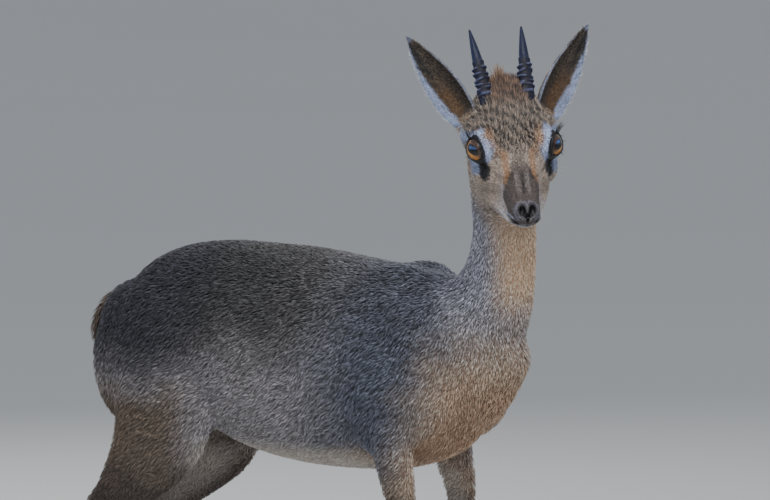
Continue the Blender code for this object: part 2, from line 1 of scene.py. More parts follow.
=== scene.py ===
# %% [markdown]
# # A standing dik-dik
# A dik-dik is a very small antelope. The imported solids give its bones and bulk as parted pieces.
# This script dresses them: one unbroken skin with lids, nostrils and lips, a coat of thousands of
# small tufts, wet eyes, ringed horns and hooves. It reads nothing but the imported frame.

import json
import math
import time

import bmesh
import bpy
import numpy as np
from mathutils import Matrix, Vector
from mathutils.bvhtree import BVHTree

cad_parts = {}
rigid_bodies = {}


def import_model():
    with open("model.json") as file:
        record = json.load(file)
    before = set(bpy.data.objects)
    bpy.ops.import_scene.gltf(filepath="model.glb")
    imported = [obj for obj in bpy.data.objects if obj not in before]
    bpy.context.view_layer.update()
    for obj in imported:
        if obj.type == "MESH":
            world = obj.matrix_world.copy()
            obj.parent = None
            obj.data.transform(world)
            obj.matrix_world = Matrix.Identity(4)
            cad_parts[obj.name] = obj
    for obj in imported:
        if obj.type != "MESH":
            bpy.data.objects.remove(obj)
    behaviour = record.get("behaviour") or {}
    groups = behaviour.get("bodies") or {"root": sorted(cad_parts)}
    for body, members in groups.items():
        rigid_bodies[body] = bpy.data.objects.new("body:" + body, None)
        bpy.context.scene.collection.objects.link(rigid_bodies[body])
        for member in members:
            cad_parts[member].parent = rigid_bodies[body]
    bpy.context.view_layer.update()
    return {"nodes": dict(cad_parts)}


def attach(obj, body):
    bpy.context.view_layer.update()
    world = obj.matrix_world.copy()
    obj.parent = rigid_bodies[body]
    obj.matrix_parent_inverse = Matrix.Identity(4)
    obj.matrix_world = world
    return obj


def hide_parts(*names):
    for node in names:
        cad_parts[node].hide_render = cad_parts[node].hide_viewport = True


STARTED = time.time()
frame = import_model()


def told(words):
    """Prints what was made, with the seconds since the start."""
    print(f"{time.time() - STARTED:6.1f} s  {words}")


# %% [markdown]
# ## Where things are
# The animal faces +X, its left is +Y and it stands on z = 0. The trunk, neck and legs are measured
# from the floor below the withers, and the head from midway between the eyes: a ahead along the
# face, b to its left, c up. These are the same sizes as the solids have, so that the skin fits
# inside them. The last step of each piece carries it to the frame's own origin.

# %% The two sets of axes
TO_FRAME = np.array((0.0713, 0.0058, 0.0))
SIDES = {"right": -1, "left": 1}
BETWEEN_EYES = Vector((0.1160, -0.0304, 0.462))
HEAD_TURN = math.radians(-43.0)
HEAD_NOD = math.radians(39.5)
HEAD_TIP = math.radians(3.4)


def head_place():
    """The matrix that carries a place on the head to its place on the animal."""
    turn = Matrix.Rotation(HEAD_TURN, 4, "Z")
    tip = Matrix.Rotation(HEAD_TIP, 4, "X")
    nod = Matrix.Rotation(HEAD_NOD, 4, "Y")
    return Matrix.Translation(BETWEEN_EYES) @ turn @ tip @ nod


HEAD = np.array(head_place())


def on_head(points):
    """Places told from the withers, told from between the eyes instead."""
    return (points - HEAD[:3, 3]) @ HEAD[:3, :3]


def off_head(points):
    """Places told from between the eyes, told from the withers instead."""
    return np.asarray(points) @ HEAD[:3, :3].T + HEAD[:3, 3]


def level_to_head(direction):
    """A direction told level (ahead, left, up), in the nodded head's own axes."""
    return Matrix.Rotation(-HEAD_NOD, 3, "Y") @ Vector(direction)


print("the nose tip lies at", off_head([[0.0675, 0, 0]]).round(3)[0])

# %% [markdown]
# ## Body, neck and legs
# An animal has no flat faces and no seams. One could push points about by hand, or start from
# overlapping tubes and balls that stand for bones and muscles, and melt them into one skin with a
# voxel remesh. The second way keeps every size as a number with a name, so it is used here.

# %% Sizes of the trunk, neck and legs
# Trunk: place along the back, height of the back, height of the belly, half width.
TRUNK = (
    (-0.250, 0.340, 0.290, 0.034),
    (-0.240, 0.353, 0.274, 0.040),
    (-0.224, 0.3665, 0.260, 0.045),
    (-0.198, 0.377, 0.251, 0.048),
    (-0.160, 0.383, 0.246, 0.050),
    (-0.120, 0.383, 0.234, 0.054),
    (-0.080, 0.381, 0.2285, 0.054),
    (-0.040, 0.377, 0.228, 0.050),
    (0.000, 0.374, 0.232, 0.044),
    (0.040, 0.371, 0.248, 0.037),
    (0.066, 0.354, 0.268, 0.030),
    (0.079, 0.338, 0.290, 0.022),
)
# Neck: middle of the neck, half width, half depth.
NECK = (
    (0.022, 0.0, 0.318, 0.035, 0.047),
    (0.052, 0.0, 0.333, 0.033, 0.041),
    (0.071, 0.0, 0.352, 0.026, 0.0335),
    (0.080, 0.0, 0.377, 0.0215, 0.0265),
    (0.083, -0.0005, 0.403, 0.0205, 0.0240),
    (0.082, -0.0020, 0.430, 0.0210, 0.0240),
    (0.081, -0.0040, 0.452, 0.0210, 0.0230),
)
# Flesh over the bones on each side: middle, three radii, lean in degrees about y.
MUSCLES = (
    ((0.022, 0.026, 0.312), (0.034, 0.016, 0.058), -38),
    ((0.029, 0.030, 0.278), (0.034, 0.017, 0.026), -25),
    ((0.004, 0.033, 0.281), (0.032, 0.018, 0.042), 0),
    ((0.054, 0.014, 0.314), (0.036, 0.021, 0.042), 0),
    ((-0.200, 0.030, 0.300), (0.052, 0.023, 0.060), 12),
    ((-0.233, 0.023, 0.294), (0.036, 0.023, 0.048), 0),
    ((-0.228, 0.014, 0.318), (0.038, 0.032, 0.036), 20),
    ((0.004, 0.0145, 0.3645), (0.026, 0.0105, 0.0125), 4),
)
# Legs, from inside the trunk to the coronet: middle, half width, half depth.
FORELEG = (
    (0.008, 0.036, 0.262, 0.0140, 0.0200),
    (0.012, 0.038, 0.240, 0.0120, 0.0165),
    (0.018, 0.0385, 0.214, 0.0105, 0.0135),
    (0.020, 0.0375, 0.182, 0.0088, 0.0105),
    (0.021, 0.0365, 0.152, 0.0076, 0.0084),
    (0.0215, 0.036, 0.133, 0.0086, 0.0090),
    (0.021, 0.0355, 0.115, 0.0070, 0.0074),
    (0.020, 0.035, 0.083, 0.0060, 0.0062),
    (0.0195, 0.0345, 0.052, 0.0062, 0.0064),
    (0.020, 0.034, 0.037, 0.0082, 0.0084),
    (0.0240, 0.034, 0.026, 0.0080, 0.0068),
    (0.0285, 0.034, 0.015, 0.0092, 0.0078),
)
HINDLEG = (
    (-0.196, 0.033, 0.292, 0.0200, 0.0480),
    (-0.195, 0.037, 0.262, 0.0185, 0.0460),
    (-0.203, 0.040, 0.238, 0.0165, 0.0390),
    (-0.220, 0.041, 0.216, 0.0140, 0.0285),
    (-0.243, 0.0405, 0.194, 0.0108, 0.0185),
    (-0.264, 0.0390, 0.172, 0.0088, 0.0120),
    (-0.276, 0.0380, 0.151, 0.0084, 0.0106),
    (-0.276, 0.0375, 0.131, 0.0070, 0.0082),
    (-0.271, 0.0370, 0.096, 0.0061, 0.0065),
    (-0.2655, 0.0365, 0.058, 0.0062, 0.0066),
    (-0.2620, 0.0360, 0.039, 0.0082, 0.0085),
    (-0.2570, 0.0360, 0.027, 0.0080, 0.0068),
    (-0.2525, 0.0360, 0.015, 0.0092, 0.0078),
)
# The tendon behind each hind leg, down to the point of the hock: middle and radius.
TENDON = (
    (-0.256, 0.0395, 0.2020, 0.0060),
    (-0.271, 0.0390, 0.1840, 0.0048),
    (-0.2825, 0.0385, 0.1680, 0.0062),
    (-0.2820, 0.0380, 0.1560, 0.0068),
)
STEP_AHEAD = {"right": {"fore": 0.004, "hind": 0.0}, "left": {"fore": -0.006, "hind": -0.012}}
TAIL = (
    (-0.250, 0.0, 0.338, 0.0085, 0.0080),
    (-0.262, 0.0, 0.336, 0.0085, 0.0080),
    (-0.275, 0.0, 0.330, 0.0090, 0.0075),
    (-0.2845, 0.0, 0.316, 0.0090, 0.0065),
    (-0.2865, 0.0, 0.298, 0.0060, 0.0042),
)
# The two small claws behind each fetlock: behind the leg, to the side, height, radii.
DEWCLAW = (-0.0098, 0.0046, 0.0335, (0.0030, 0.0026, 0.0048))
print("trunk rows:", len(TRUNK), "neck rows:", len(NECK))


# %% Tubes and balls
def cubic(rows, steps):
    """Rows of numbers read off a smooth curve through the given rows."""
    rows = np.array(rows, float)
    ends = np.vstack((2 * rows[0] - rows[1], rows, 2 * rows[-1] - rows[-2]))
    read = []
    for one, two, three, four in zip(ends, ends[1:], ends[2:], ends[3:]):
        for t in np.arange(steps) / steps:
            straight = 2 * two + (three - one) * t
            bend = (2 * one - 5 * two + 4 * three - four) * t**2
            twist = (3 * two - one - 3 * three + four) * t**3
            read.append((straight + bend + twist) / 2)
    read.append(rows[-1])
    return np.array(read)


def mesh_object(name, form):
    """A named object with the bmesh's faces, turned outwards."""
    bmesh.ops.recalc_face_normals(form, faces=form.faces)
    mesh = bpy.data.meshes.new(name)
    form.to_mesh(mesh)
    form.free()
    made = bpy.data.objects.new(name, mesh)
    bpy.context.collection.objects.link(made)
    return made


def add_rings(form, rings):
    """A closed skin over rings of points, with a flat cap at each end."""
    rows = [[form.verts.new(point) for point in ring] for ring in rings]
    count = len(rows[0])
    for low, high in zip(rows, rows[1:]):
        for side in range(count):
            after = (side + 1) % count
            form.faces.new((low[side], low[after], high[after], high[side]))
    form.faces.new(rows[0][::-1])
    form.faces.new(rows[-1])


def add_tube(form, rows, across, sides=24, steps=5, power=2.0, place=Matrix(), rounded=True):
    """A tube along rows of middle, half size across and half size the other way, with round ends."""
    rows = cubic(rows, steps)
    middles = rows[:, :3]
    ahead = np.gradient(middles, axis=0)
    ahead /= np.linalg.norm(ahead, axis=1)[:, None]
    side = np.array(across) - ahead * (ahead @ np.array(across))[:, None]
    side /= np.linalg.norm(side, axis=1)[:, None]
    other = np.cross(ahead, side)
    angles = np.arange(sides) * 2 * math.pi / sides
    wide = np.sign(np.cos(angles)) * np.abs(np.cos(angles)) ** (2 / power)
    deep = np.sign(np.sin(angles)) * np.abs(np.sin(angles)) ** (2 / power)

    def ring(row, out, shrink):
        middle = middles[row] + ahead[row] * out
        points = np.outer(wide, side[row]) * rows[row, 3] + np.outer(deep, other[row]) * rows[row, 4]
        return [place @ Vector(point) for point in middle + points * shrink]

    first, last = rows[0, 3:].min(), rows[-1, 3:].min()
    turns = [math.radians(angle) for angle in (75, 50, 25)] if rounded else []
    rings = [ring(0, -first * math.sin(turn), math.cos(turn)) for turn in turns]
    rings += [ring(row, 0, 1) for row in range(len(rows))]
    rings += [ring(-1, last * math.sin(turn), math.cos(turn)) for turn in reversed(turns)]
    add_rings(form, rings)


def add_ball(form, middle, radii, lean=0, place=Matrix(), fineness=4):
    """An egg shape with three radii, leaning by an angle in degrees about y."""
    size = Matrix.Diagonal((*radii, 1))
    where = place @ Matrix.Translation(middle) @ Matrix.Rotation(math.radians(lean), 4, "Y") @ size
    bmesh.ops.create_icosphere(form, subdivisions=fineness, radius=1, matrix=where)


def mirrored(point, sign):
    """The same place on the animal's other side when the sign is -1."""
    return Vector((point[0], point[1] * sign, point[2]))


def add_body(form):
    """The trunk, the neck, the legs and the tail as overlapping shapes."""
    trunk = [(x, 0, (top + low) / 2, half, (top - low) / 2) for x, top, low, half in TRUNK]
    add_tube(form, trunk, (0, 1, 0), sides=32, power=2.2)
    add_tube(form, NECK, (0, 1, 0))
    add_tube(form, TAIL, (0, 1, 0))
    for side, sign in SIDES.items():
        for middle, radii, lean in MUSCLES:
            add_ball(form, mirrored(middle, sign), radii, lean)
        for leg, places in {"fore": FORELEG, "hind": HINDLEG}.items():
            step = STEP_AHEAD[side][leg]
            rows = [(x + step, y * sign, z, half, deep) for x, y, z, half, deep in places]
            add_tube(form, rows, (0, 1, 0))
            fetlock_x, fetlock_y = rows[-3][:2]
            for toe in (-1, 1):
                claw = Vector((fetlock_x + DEWCLAW[0], fetlock_y + toe * DEWCLAW[1], DEWCLAW[2]))
                add_ball(form, claw, DEWCLAW[3], 20, fineness=3)
        step = STEP_AHEAD[side]["hind"]
        rows = [(x + step, y * sign, z, radius, radius) for x, y, z, radius in TENDON]
        add_tube(form, rows, (0, 1, 0), sides=16)


# %% [markdown]
# ## The head
# The skull of a dik-dik is a wedge: broad over the eyes and quickly down to a slim muzzle, with a
# soft nose that stands a little ahead of the mouth. The jaw, the cheeks and the brows are laid on
# as more tubes and balls before everything is melted together.

# %% Sizes of the head
# Skull and muzzle: place along the face, height of the middle, half width, half depth.
SKULL = (
    (-0.062, -0.013, 0.015, 0.013),
    (-0.050, -0.012, 0.0240, 0.0235),
    (-0.032, -0.012, 0.0280, 0.0275),
    (-0.014, -0.013, 0.0275, 0.0285),
    (0.000, -0.013, 0.0260, 0.0275),
    (0.013, -0.0125, 0.0225, 0.0245),
    (0.026, -0.0115, 0.0165, 0.0210),
    (0.039, -0.0100, 0.0125, 0.0175),
    (0.050, -0.0085, 0.0112, 0.0140),
    (0.0575, -0.0068, 0.0103, 0.0110),
    (0.0615, -0.0045, 0.0088, 0.0078),
)
# Flesh on each side of the head: middle, three radii, lean in degrees about y.
HEAD_FLESH = (
    ((-0.002, 0.0150, -0.031), (0.024, 0.0105, 0.015), 0),
    ((0.0035, 0.0215, -0.0150), (0.0150, 0.0085, 0.0100), 0),
    ((-0.008, 0.0160, -0.001), (0.0230, 0.0125, 0.0140), 0),
    ((0.010, 0.0155, -0.012), (0.0160, 0.0085, 0.0120), 0),
    ((0.053, 0.0045, -0.0125), (0.010, 0.0062, 0.0055), 0),
    ((0.0600, 0.0036, -0.0005), (0.0065, 0.0050, 0.0058), 0),
    ((0.0470, 0.0070, -0.0170), (0.0135, 0.0064, 0.0052), -18),
    ((-0.0240, 0.0265, -0.0090), (0.0100, 0.0068, 0.0115), 0),
)
# The lower jaw on each side, from the chin to its angle: middle and radius.
JAW = (
    (0.0525, 0.0042, -0.0178, 0.0048),
    (0.037, 0.0095, -0.0222, 0.0065),
    (0.017, 0.0145, -0.0275, 0.0080),
    (-0.006, 0.0170, -0.0325, 0.0095),
)
CHIN = ((0.0515, 0, -0.0170), (0.0095, 0.0065, 0.0045), 0)
CREST_CORE = ((-0.040, 0, 0.0055), (0.020, 0.0120, 0.0075))
EYE_RADIUS = 0.0118
EYE_SIDE = 0.0208
LID_THICKNESS = 0.0014
print("the eyes are", round(EYE_SIDE * 2000), "mm apart, and each is", EYE_RADIUS * 2000, "mm across")


# %% Shapes of the head
def add_head(form):
    """The skull, the jaw, the cheeks and the lids' bulges as overlapping shapes."""
    place = head_place()
    skull = [(x, 0, z, half, deep) for x, z, half, deep in SKULL]
    add_tube(form, skull, (0, 1, 0), place=place, power=2.15)
    add_ball(form, *CHIN, place=place)
    add_ball(form, *CREST_CORE, place=place)
    for sign in SIDES.values():
        for middle, radii, lean in HEAD_FLESH:
            add_ball(form, mirrored(middle, sign), radii, lean, place)
        jaw = [(x, y * sign, z, radius, radius) for x, y, z, radius in JAW]
        add_tube(form, jaw, (0, 1, 0), sides=16, place=place)
        lid = EYE_RADIUS + LID_THICKNESS
        add_ball(form, (0, EYE_SIDE * sign, 0), (lid, lid, lid), place=place)


# %% [markdown]
# ## Melting the shapes into one skin
# The remesh wraps everything in small squares. Smoothing then flows the shapes into each other. It
# would also thin the slim legs and the fine face, so a vertex group holds it back there. The skin
# is then drawn inwards by the depth of the coat, which the tufts fill again.

# %% Remesh, ease and draw in
GRAIN = 0.0013
BODY_ROUNDS = 90
HEAD_ROUNDS = 13
SKIN_KEPT = 0.36
COAT_DEPTH = {"trunk": 0.0034, "neck": 0.0024, "head": 0.0008, "leg": 0.0008, "tail": 0.0030}


def step(low, high, values):
    """A smooth step from 0 at low to 1 at high."""
    share = np.clip((values - low) / (high - low), 0, 1)
    return share * share * (3 - 2 * share)


HEAD_BASE = np.array((0.0825, 0.003, 0.434))
HEAD_BASE_OUT = np.array((0.52, -0.50, 0.69)) / math.sqrt(0.52**2 + 0.50**2 + 0.69**2)


def shares(points):
    """How far each point belongs to the head, the neck, the legs and the tail, from 0 to 1."""
    x, y, z = points.T
    head = step(-0.012, 0.008, (points - HEAD_BASE) @ HEAD_BASE_OUT)
    head = head * step(0.385, 0.400, z)
    neck = step(0.335, 0.385, z) * step(0.03, 0.055, x) * (1 - head)
    leg = step(0.205, 0.150, z)
    tail = step(-0.262, -0.272, x) * step(0.285, 0.300, z) * step(0.014, 0.009, np.abs(y))
    return head, neck, leg, tail


def coat_depth(points):
    """How deep the coat is at each point."""
    head, neck, leg, tail = shares(points)
    depth = np.full(len(points), COAT_DEPTH["trunk"])
    for share, name in ((neck, "neck"), (leg, "leg"), (head, "head"), (tail, "tail")):
        depth = depth * (1 - share) + COAT_DEPTH[name] * share
    return depth


def coordinates(mesh):
    """The mesh's vertices as rows of numbers."""
    read = np.empty(len(mesh.vertices) * 3)
    mesh.vertices.foreach_get("co", read)
    return read.reshape(-1, 3)


def set_coordinates(mesh, points):
    """Moves the mesh's vertices to the given rows."""
    mesh.vertices.foreach_set("co", np.ascontiguousarray(points).ravel())
    mesh.update()


def normals_of(mesh):
    """The direction out of the skin at each vertex."""
    read = np.empty(len(mesh.vertices) * 3)
    mesh.vertex_normals.foreach_get("vector", read)
    return read.reshape(-1, 3)


def evaluated(made, name):
    """The object's mesh as its modifiers leave it, in a new object; the old one goes."""
    bpy.context.view_layer.update()
    read = made.evaluated_get(bpy.context.evaluated_depsgraph_get())
    mesh = bpy.data.meshes.new_from_object(read)
    bpy.data.objects.remove(made)
    result = bpy.data.objects.new(name, mesh)
    bpy.context.collection.objects.link(result)
    return result


def set_group(made, name, weights):
    """A vertex group with one weight for each vertex."""
    group = made.vertex_groups.new(name=name)
    levels = np.round(np.clip(weights, 0, 1) * 20).astype(int)
    for level in range(1, 21):
        chosen = np.nonzero(levels == level)[0].tolist()
        if chosen:
            group.add(chosen, level / 20, "REPLACE")


def ease(made, group, rounds):
    """Adds a smoothing modifier held to a vertex group."""
    change = made.modifiers.new(group, "SMOOTH")
    change.factor = 0.5
    change.iterations = rounds
    change.vertex_group = group


def melted():
    """The whole animal as one closed skin."""
    form = bmesh.new()
    add_body(form)
    add_head(form)
    made = mesh_object("skin", form)
    wrap = made.modifiers.new("wrap", "REMESH")
    wrap.mode = "VOXEL"
    wrap.voxel_size = GRAIN
    made = evaluated(made, "skin")
    points = coordinates(made.data)
    head, neck, leg, tail = shares(points)
    set_group(made, "broad", np.clip(1 - head - 0.88 * leg - 0.5 * tail, 0.03, 1))
    set_group(made, "fine", np.ones(len(points)))
    ease(made, "broad", BODY_ROUNDS)
    ease(made, "fine", HEAD_ROUNDS)
    made = evaluated(made, "skin")
    points = coordinates(made.data)
    set_coordinates(made.data, points - normals_of(made.data) * coat_depth(points)[:, None])
    head = shares(points)[0]
    set_group(made, "coarse", 1 - 0.97 * head)
    thin = made.modifiers.new("thin", "DECIMATE")
    thin.ratio = SKIN_KEPT
    thin.vertex_group = "coarse"
    return evaluated(made, "skin")


skin = melted()
told(f"melted skin: {len(skin.data.polygons)} faces")

# %% [markdown]
# ## Carving the face
# The mouth, the lips, the groove below the nose and the scent gland in front of each eye are too
# fine for balls and tubes. They are carved into the skin afterwards: near a short path on the head
# the skin is pushed in or drawn out. The grid there is first made twice as fine.

# %% Carved lines
MOUTH = (
    (0.0365, 0.0148, -0.0190),
    (0.0430, 0.0140, -0.0172),
    (0.0528, 0.0112, -0.0135),
    (0.0590, 0.0090, -0.0105),
    (0.0640, 0.0055, -0.0080),
    (0.0668, 0.0000, -0.0068),
)
UPPER_LIP = tuple((ahead + 0.0004, aside, above + 0.0021) for ahead, aside, above in MOUTH)
LOWER_LIP = tuple((ahead - 0.0010, aside, above - 0.0022) for ahead, aside, above in MOUTH)
# The edge of the nose's flat front on each side.
NOSE_EDGE = (
    (0.0557, 0.0000, 0.0036),
    (0.0562, 0.0040, 0.0034),
    (0.0570, 0.0066, 0.0014),
    (0.0588, 0.0082, -0.0020),
    (0.0618, 0.0078, -0.0040),
    (0.0660, 0.0050, -0.0046),
)
GLAND_LINE = ((0.0125, 0.0228, -0.0030), (0.0150, 0.0215, -0.0060), (0.0178, 0.0203, -0.0090))
# Each line: its path, its width to each side, how far it draws the skin out.
CARVED = (
    (MOUTH, 0.0017, -0.0017),
    (UPPER_LIP, 0.0020, 0.0006),
    (LOWER_LIP, 0.0020, 0.0008),
    (((0.0665, 0, -0.0010), (0.0676, 0, -0.0030), (0.0672, 0, -0.0060)), 0.0011, -0.0010),
    (NOSE_EDGE, 0.0014, -0.0005),
    (GLAND_LINE, 0.0026, -0.0013),
    (((0.0670, 0.0, 0.0040), (0.0660, 0.0, -0.0010)), 0.0014, -0.0006),
    (((0.0180, 0.0130, 0.0050), (0.0330, 0.0095, 0.0020), (0.0480, 0.0080, 0.0000)), 0.0030, 0.0005),
    (((0.0220, 0.0185, -0.0120), (0.0350, 0.0140, -0.0110)), 0.0050, -0.0009),
    (((-0.0120, 0.0270, 0.0095), (-0.0010, 0.0270, 0.0125), (0.0080, 0.0220, 0.0105)), 0.0030, 0.0007),
)
FINE_FACE = (((0.058, 0, -0.006), 0.024), ((0.003, 0.026, 0.0), 0.022), ((0.0150, 0.0215, -0.0060), 0.009))


def path_distance(points, path):
    """How far each point is from a path of places."""
    best = np.full(len(points), 1e9)
    for one, two in zip(np.array(path, float)[:-1], np.array(path, float)[1:]):
        line = two - one
        share = np.clip((points - one) @ line / (line @ line), 0, 1)
        best = np.minimum(best, np.linalg.norm(points - one - share[:, None] * line, axis=1))
    return best


def folded_head(points):
    """Places on the head with both sides laid on the left one."""
    place = on_head(points)
    place[:, 1] = np.abs(place[:, 1])
    return place


def carve(made):
    """The skin with a finer grid on the face, and the lines carved into it."""
    form = bmesh.new()
    form.from_mesh(made.data)
    form.verts.ensure_lookup_table()
    place = folded_head(np.array([vertex.co for vertex in form.verts]))
    chosen = np.zeros(len(place), bool)
    for middle, reach in FINE_FACE:
        chosen |= np.linalg.norm(place - np.array(middle), axis=1) < reach
    edges = [edge for edge in form.edges if chosen[edge.verts[0].index] and chosen[edge.verts[1].index]]
    bmesh.ops.subdivide_edges(form, edges=edges, cuts=1, use_grid_fill=True)
    form.verts.ensure_lookup_table()
    place = folded_head(np.array([vertex.co for vertex in form.verts]))
    eased = np.zeros(len(place), bool)
    for middle, reach in FINE_FACE:
        eased |= np.linalg.norm(place - np.array(middle), axis=1) < reach * 1.1
    softened = [vertex for vertex, wanted in zip(form.verts, eased) if wanted]
    for _ in range(4):
        bmesh.ops.smooth_vert(form, verts=softened, factor=0.5, use_axis_x=True, use_axis_y=True, use_axis_z=True)
    form.to_mesh(made.data)
    form.free()
    points = coordinates(made.data)
    place = folded_head(points)
    out = np.zeros(len(points))
    for path, width, rise in CARVED:
        away = path_distance(place, path)
        out += rise * np.exp(-((away / (width * 0.6)) ** 2))
    set_coordinates(made.data, points + normals_of(made.data) * out[:, None])


carve(skin)
told(f"carved skin: {len(skin.data.polygons)} faces")

# %% [markdown]
# ## Ears
# An ear is a leaf rolled into a cup, too thin for the remesh to keep. It is lofted from rings
# instead: half of each ring is the furry back, the other half the hollow front. Only the root is
# solid, and a Boolean union melts it into the head.

# %% Sizes of the ears
EAR_ROOT = (-0.0333, 0.0262, -0.0080)
EAR_LENGTH = 0.0740
EAR_AXIS = (-0.020, 0.0335, 0.0565)
EAR_OPENING = (0.80, 0.55, 0.10)
EAR_WALL = 0.0010
EAR_SOLID_TO = 0.05
EAR_OPEN_FROM = 0.19
EAR_INSET = 0.0004
# Share of the length, half width, depth of the cup.
EAR = (
    (0.00, 0.0085, 0.0085),
    (0.15, 0.0114, 0.0105),
    (0.35, 0.0128, 0.0098),
    (0.55, 0.0114, 0.0078),
    (0.75, 0.0078, 0.0048),
    (0.90, 0.0041, 0.0025),
    (1.00, 0.0010, 0.0006),
)


def ear_axes(sign):
    """Where an ear starts, along it, out of its hollow and to its outer edge, on the head."""
    axis = level_to_head(mirrored(EAR_AXIS, sign)).normalized()
    opening = level_to_head(mirrored(EAR_OPENING, sign))
    opening = (opening - axis * opening.dot(axis)).normalized()
    outer = axis.cross(opening) * sign
    return mirrored(EAR_ROOT, sign), axis, opening, outer


def add_ear(form, sign):
    """An ear as a cupped leaf: an outer skin, and an inner one that closes over the root."""
    root, axis, opening, outer = ear_axes(sign)
    place = head_place()
    angles = [math.radians(angle) for angle in range(-90, 91, 9)]
    rings = []
    for share, half, depth in cubic(EAR, 8):
        half, depth = half - EAR_INSET, depth - EAR_INSET
        wall = min(EAR_WALL, half * 0.45, depth * 0.45)
        opened = min(max((share - EAR_SOLID_TO) / (EAR_OPEN_FROM - EAR_SOLID_TO), 0), 1)
        opened = opened * opened * (3 - 2 * opened)
        front = (1 - opened) * depth * 0.35 - opened * (depth - wall)
        middle = root + axis * EAR_LENGTH * share
        ring = [middle + outer * half * math.sin(a) - opening * depth * math.cos(a) for a in angles]
        for a in angles[::-1]:
            ring.append(middle + outer * (half - wall) * math.sin(a) + opening * front * math.cos(a))
        rings.append([place @ point for point in ring])
    add_rings(form, rings)


def cut(made, cutter, operation="DIFFERENCE"):
    """The object after a Boolean with the cutter, which goes."""
    name = made.name
    change = made.modifiers.new("cut", "BOOLEAN")
    change.operation = operation
    change.solver = "MANIFOLD"
    change.object = cutter
    result = evaluated(made, name)
    bpy.data.objects.remove(cutter)
    return result


form = bmesh.new()
for sign in SIDES.values():
    add_ear(form, sign)
skin = cut(skin, mesh_object("ears", form), "UNION")
told(f"skin with ears: {len(skin.data.polygons)} faces")

# %% [markdown]
# ## Eyes, lids and nostrils
# The eyeball is nearly as big as the gap between forehead and cheek, and only an almond of it
# shows. The skin over it is hollowed by a ball, and a slanted almond parts the lids. The corner
# next to the nose lies lower than the other one.

# %% Openings in the face
EYE_OUTWARD = math.radians(50)
EYE_UPWARD = math.radians(6)
LID_HALF_LENGTH = 0.0091
LID_HALF_HEIGHT = 0.0064
LID_TILT = math.radians(20)
SOCKET_PLAY = 0.00025
NOSTRIL = (0.0640, 0.0034, 0.0024)
NOSTRIL_RADII = (0.0040, 0.0022, 0.0021)
NOSTRIL_SLIT = (0.0652, 0.0021, 0.0008)
NOSTRIL_SLIT_RADII = (0.0030, 0.0017, 0.0011)
HORN_ROOT = (-0.0375, 0.0138, 0.0090)
HORN_RADIUS = 0.0051
HORN_LEAN = math.radians(24)
# How far each horn leans out, the right one more than the left.
HORN_SPREAD = {-1: math.radians(6.0), 1: math.radians(2.4)}


def eye_axes(sign):
    """An eye's middle, the way it looks, forwards along the slanted lids, and upwards."""
    level = Vector((math.cos(EYE_OUTWARD), math.sin(EYE_OUTWARD) * sign, math.sin(EYE_UPWARD)))
    look = level_to_head(level).normalized()
    up = (Vector((0, 0, 1)) - look * look.z).normalized()
    ahead = up.cross(look) * -sign
    slant = ahead * math.cos(LID_TILT) - up * math.sin(LID_TILT)
    rise = up * math.cos(LID_TILT) + ahead * math.sin(LID_TILT)
    return Vector((0, EYE_SIDE * sign, 0)), look, slant, rise


def lid_outline(sign, count, grow=0.0):
    """The almond between the lids, as places along the slant and up it."""
    _, _, slant, rise = eye_axes(sign)
    outline = []
    for number in range(count):
        angle = 2 * math.pi * number / count
        sideways = (LID_HALF_LENGTH + grow) * math.cos(angle)
        upwards = (LID_HALF_HEIGHT + grow) * math.sin(angle) * abs(math.sin(angle)) ** 0.35
        outline.append(slant * sideways + rise * upwards)
    return outline


def open_face(made):
    """The skin with its eye sockets, the gaps between the lids, and the nostrils."""
    place = head_place()
    for sign in SIDES.values():
        middle, look, _, _ = eye_axes(sign)
        form = bmesh.new()
        radius = EYE_RADIUS + SOCKET_PLAY
        add_ball(form, middle, (radius, radius, radius), place=place)
        made = cut(made, mesh_object("socket", form))
        form = bmesh.new()
        outline = lid_outline(sign, 40)
        ends = (look * EYE_RADIUS * 0.3, look * EYE_RADIUS * 1.6)
        add_rings(form, [[place @ (middle + at + point) for point in outline] for at in ends])
        made = cut(made, mesh_object("lid_gap", form))
        form = bmesh.new()
        add_ball(form, mirrored(NOSTRIL, sign), NOSTRIL_RADII, 25, place=place, fineness=3)
        made = cut(made, mesh_object("nostril", form))
        form = bmesh.new()
        add_ball(form, mirrored(NOSTRIL_SLIT, sign), NOSTRIL_SLIT_RADII, 25, place=place, fineness=3)
        made = cut(made, mesh_object("nostril_slit", form))
    return made


skin = open_face(skin)
told(f"skin with sockets and nostrils: {len(skin.data.polygons)} faces")

# %% [markdown]
# ## Colours of the coat
# A dik-dik's hairs are banded: dark at the root and pale near the tip, so that the coat looks
# sprinkled with pepper and salt. The colours change over the body in broad soft fields. They are
# told here as one function of the place, and stored in the meshes, so that the skin and every tuft
# above it always agree. A photograph thrown onto the model would only hold from one side.

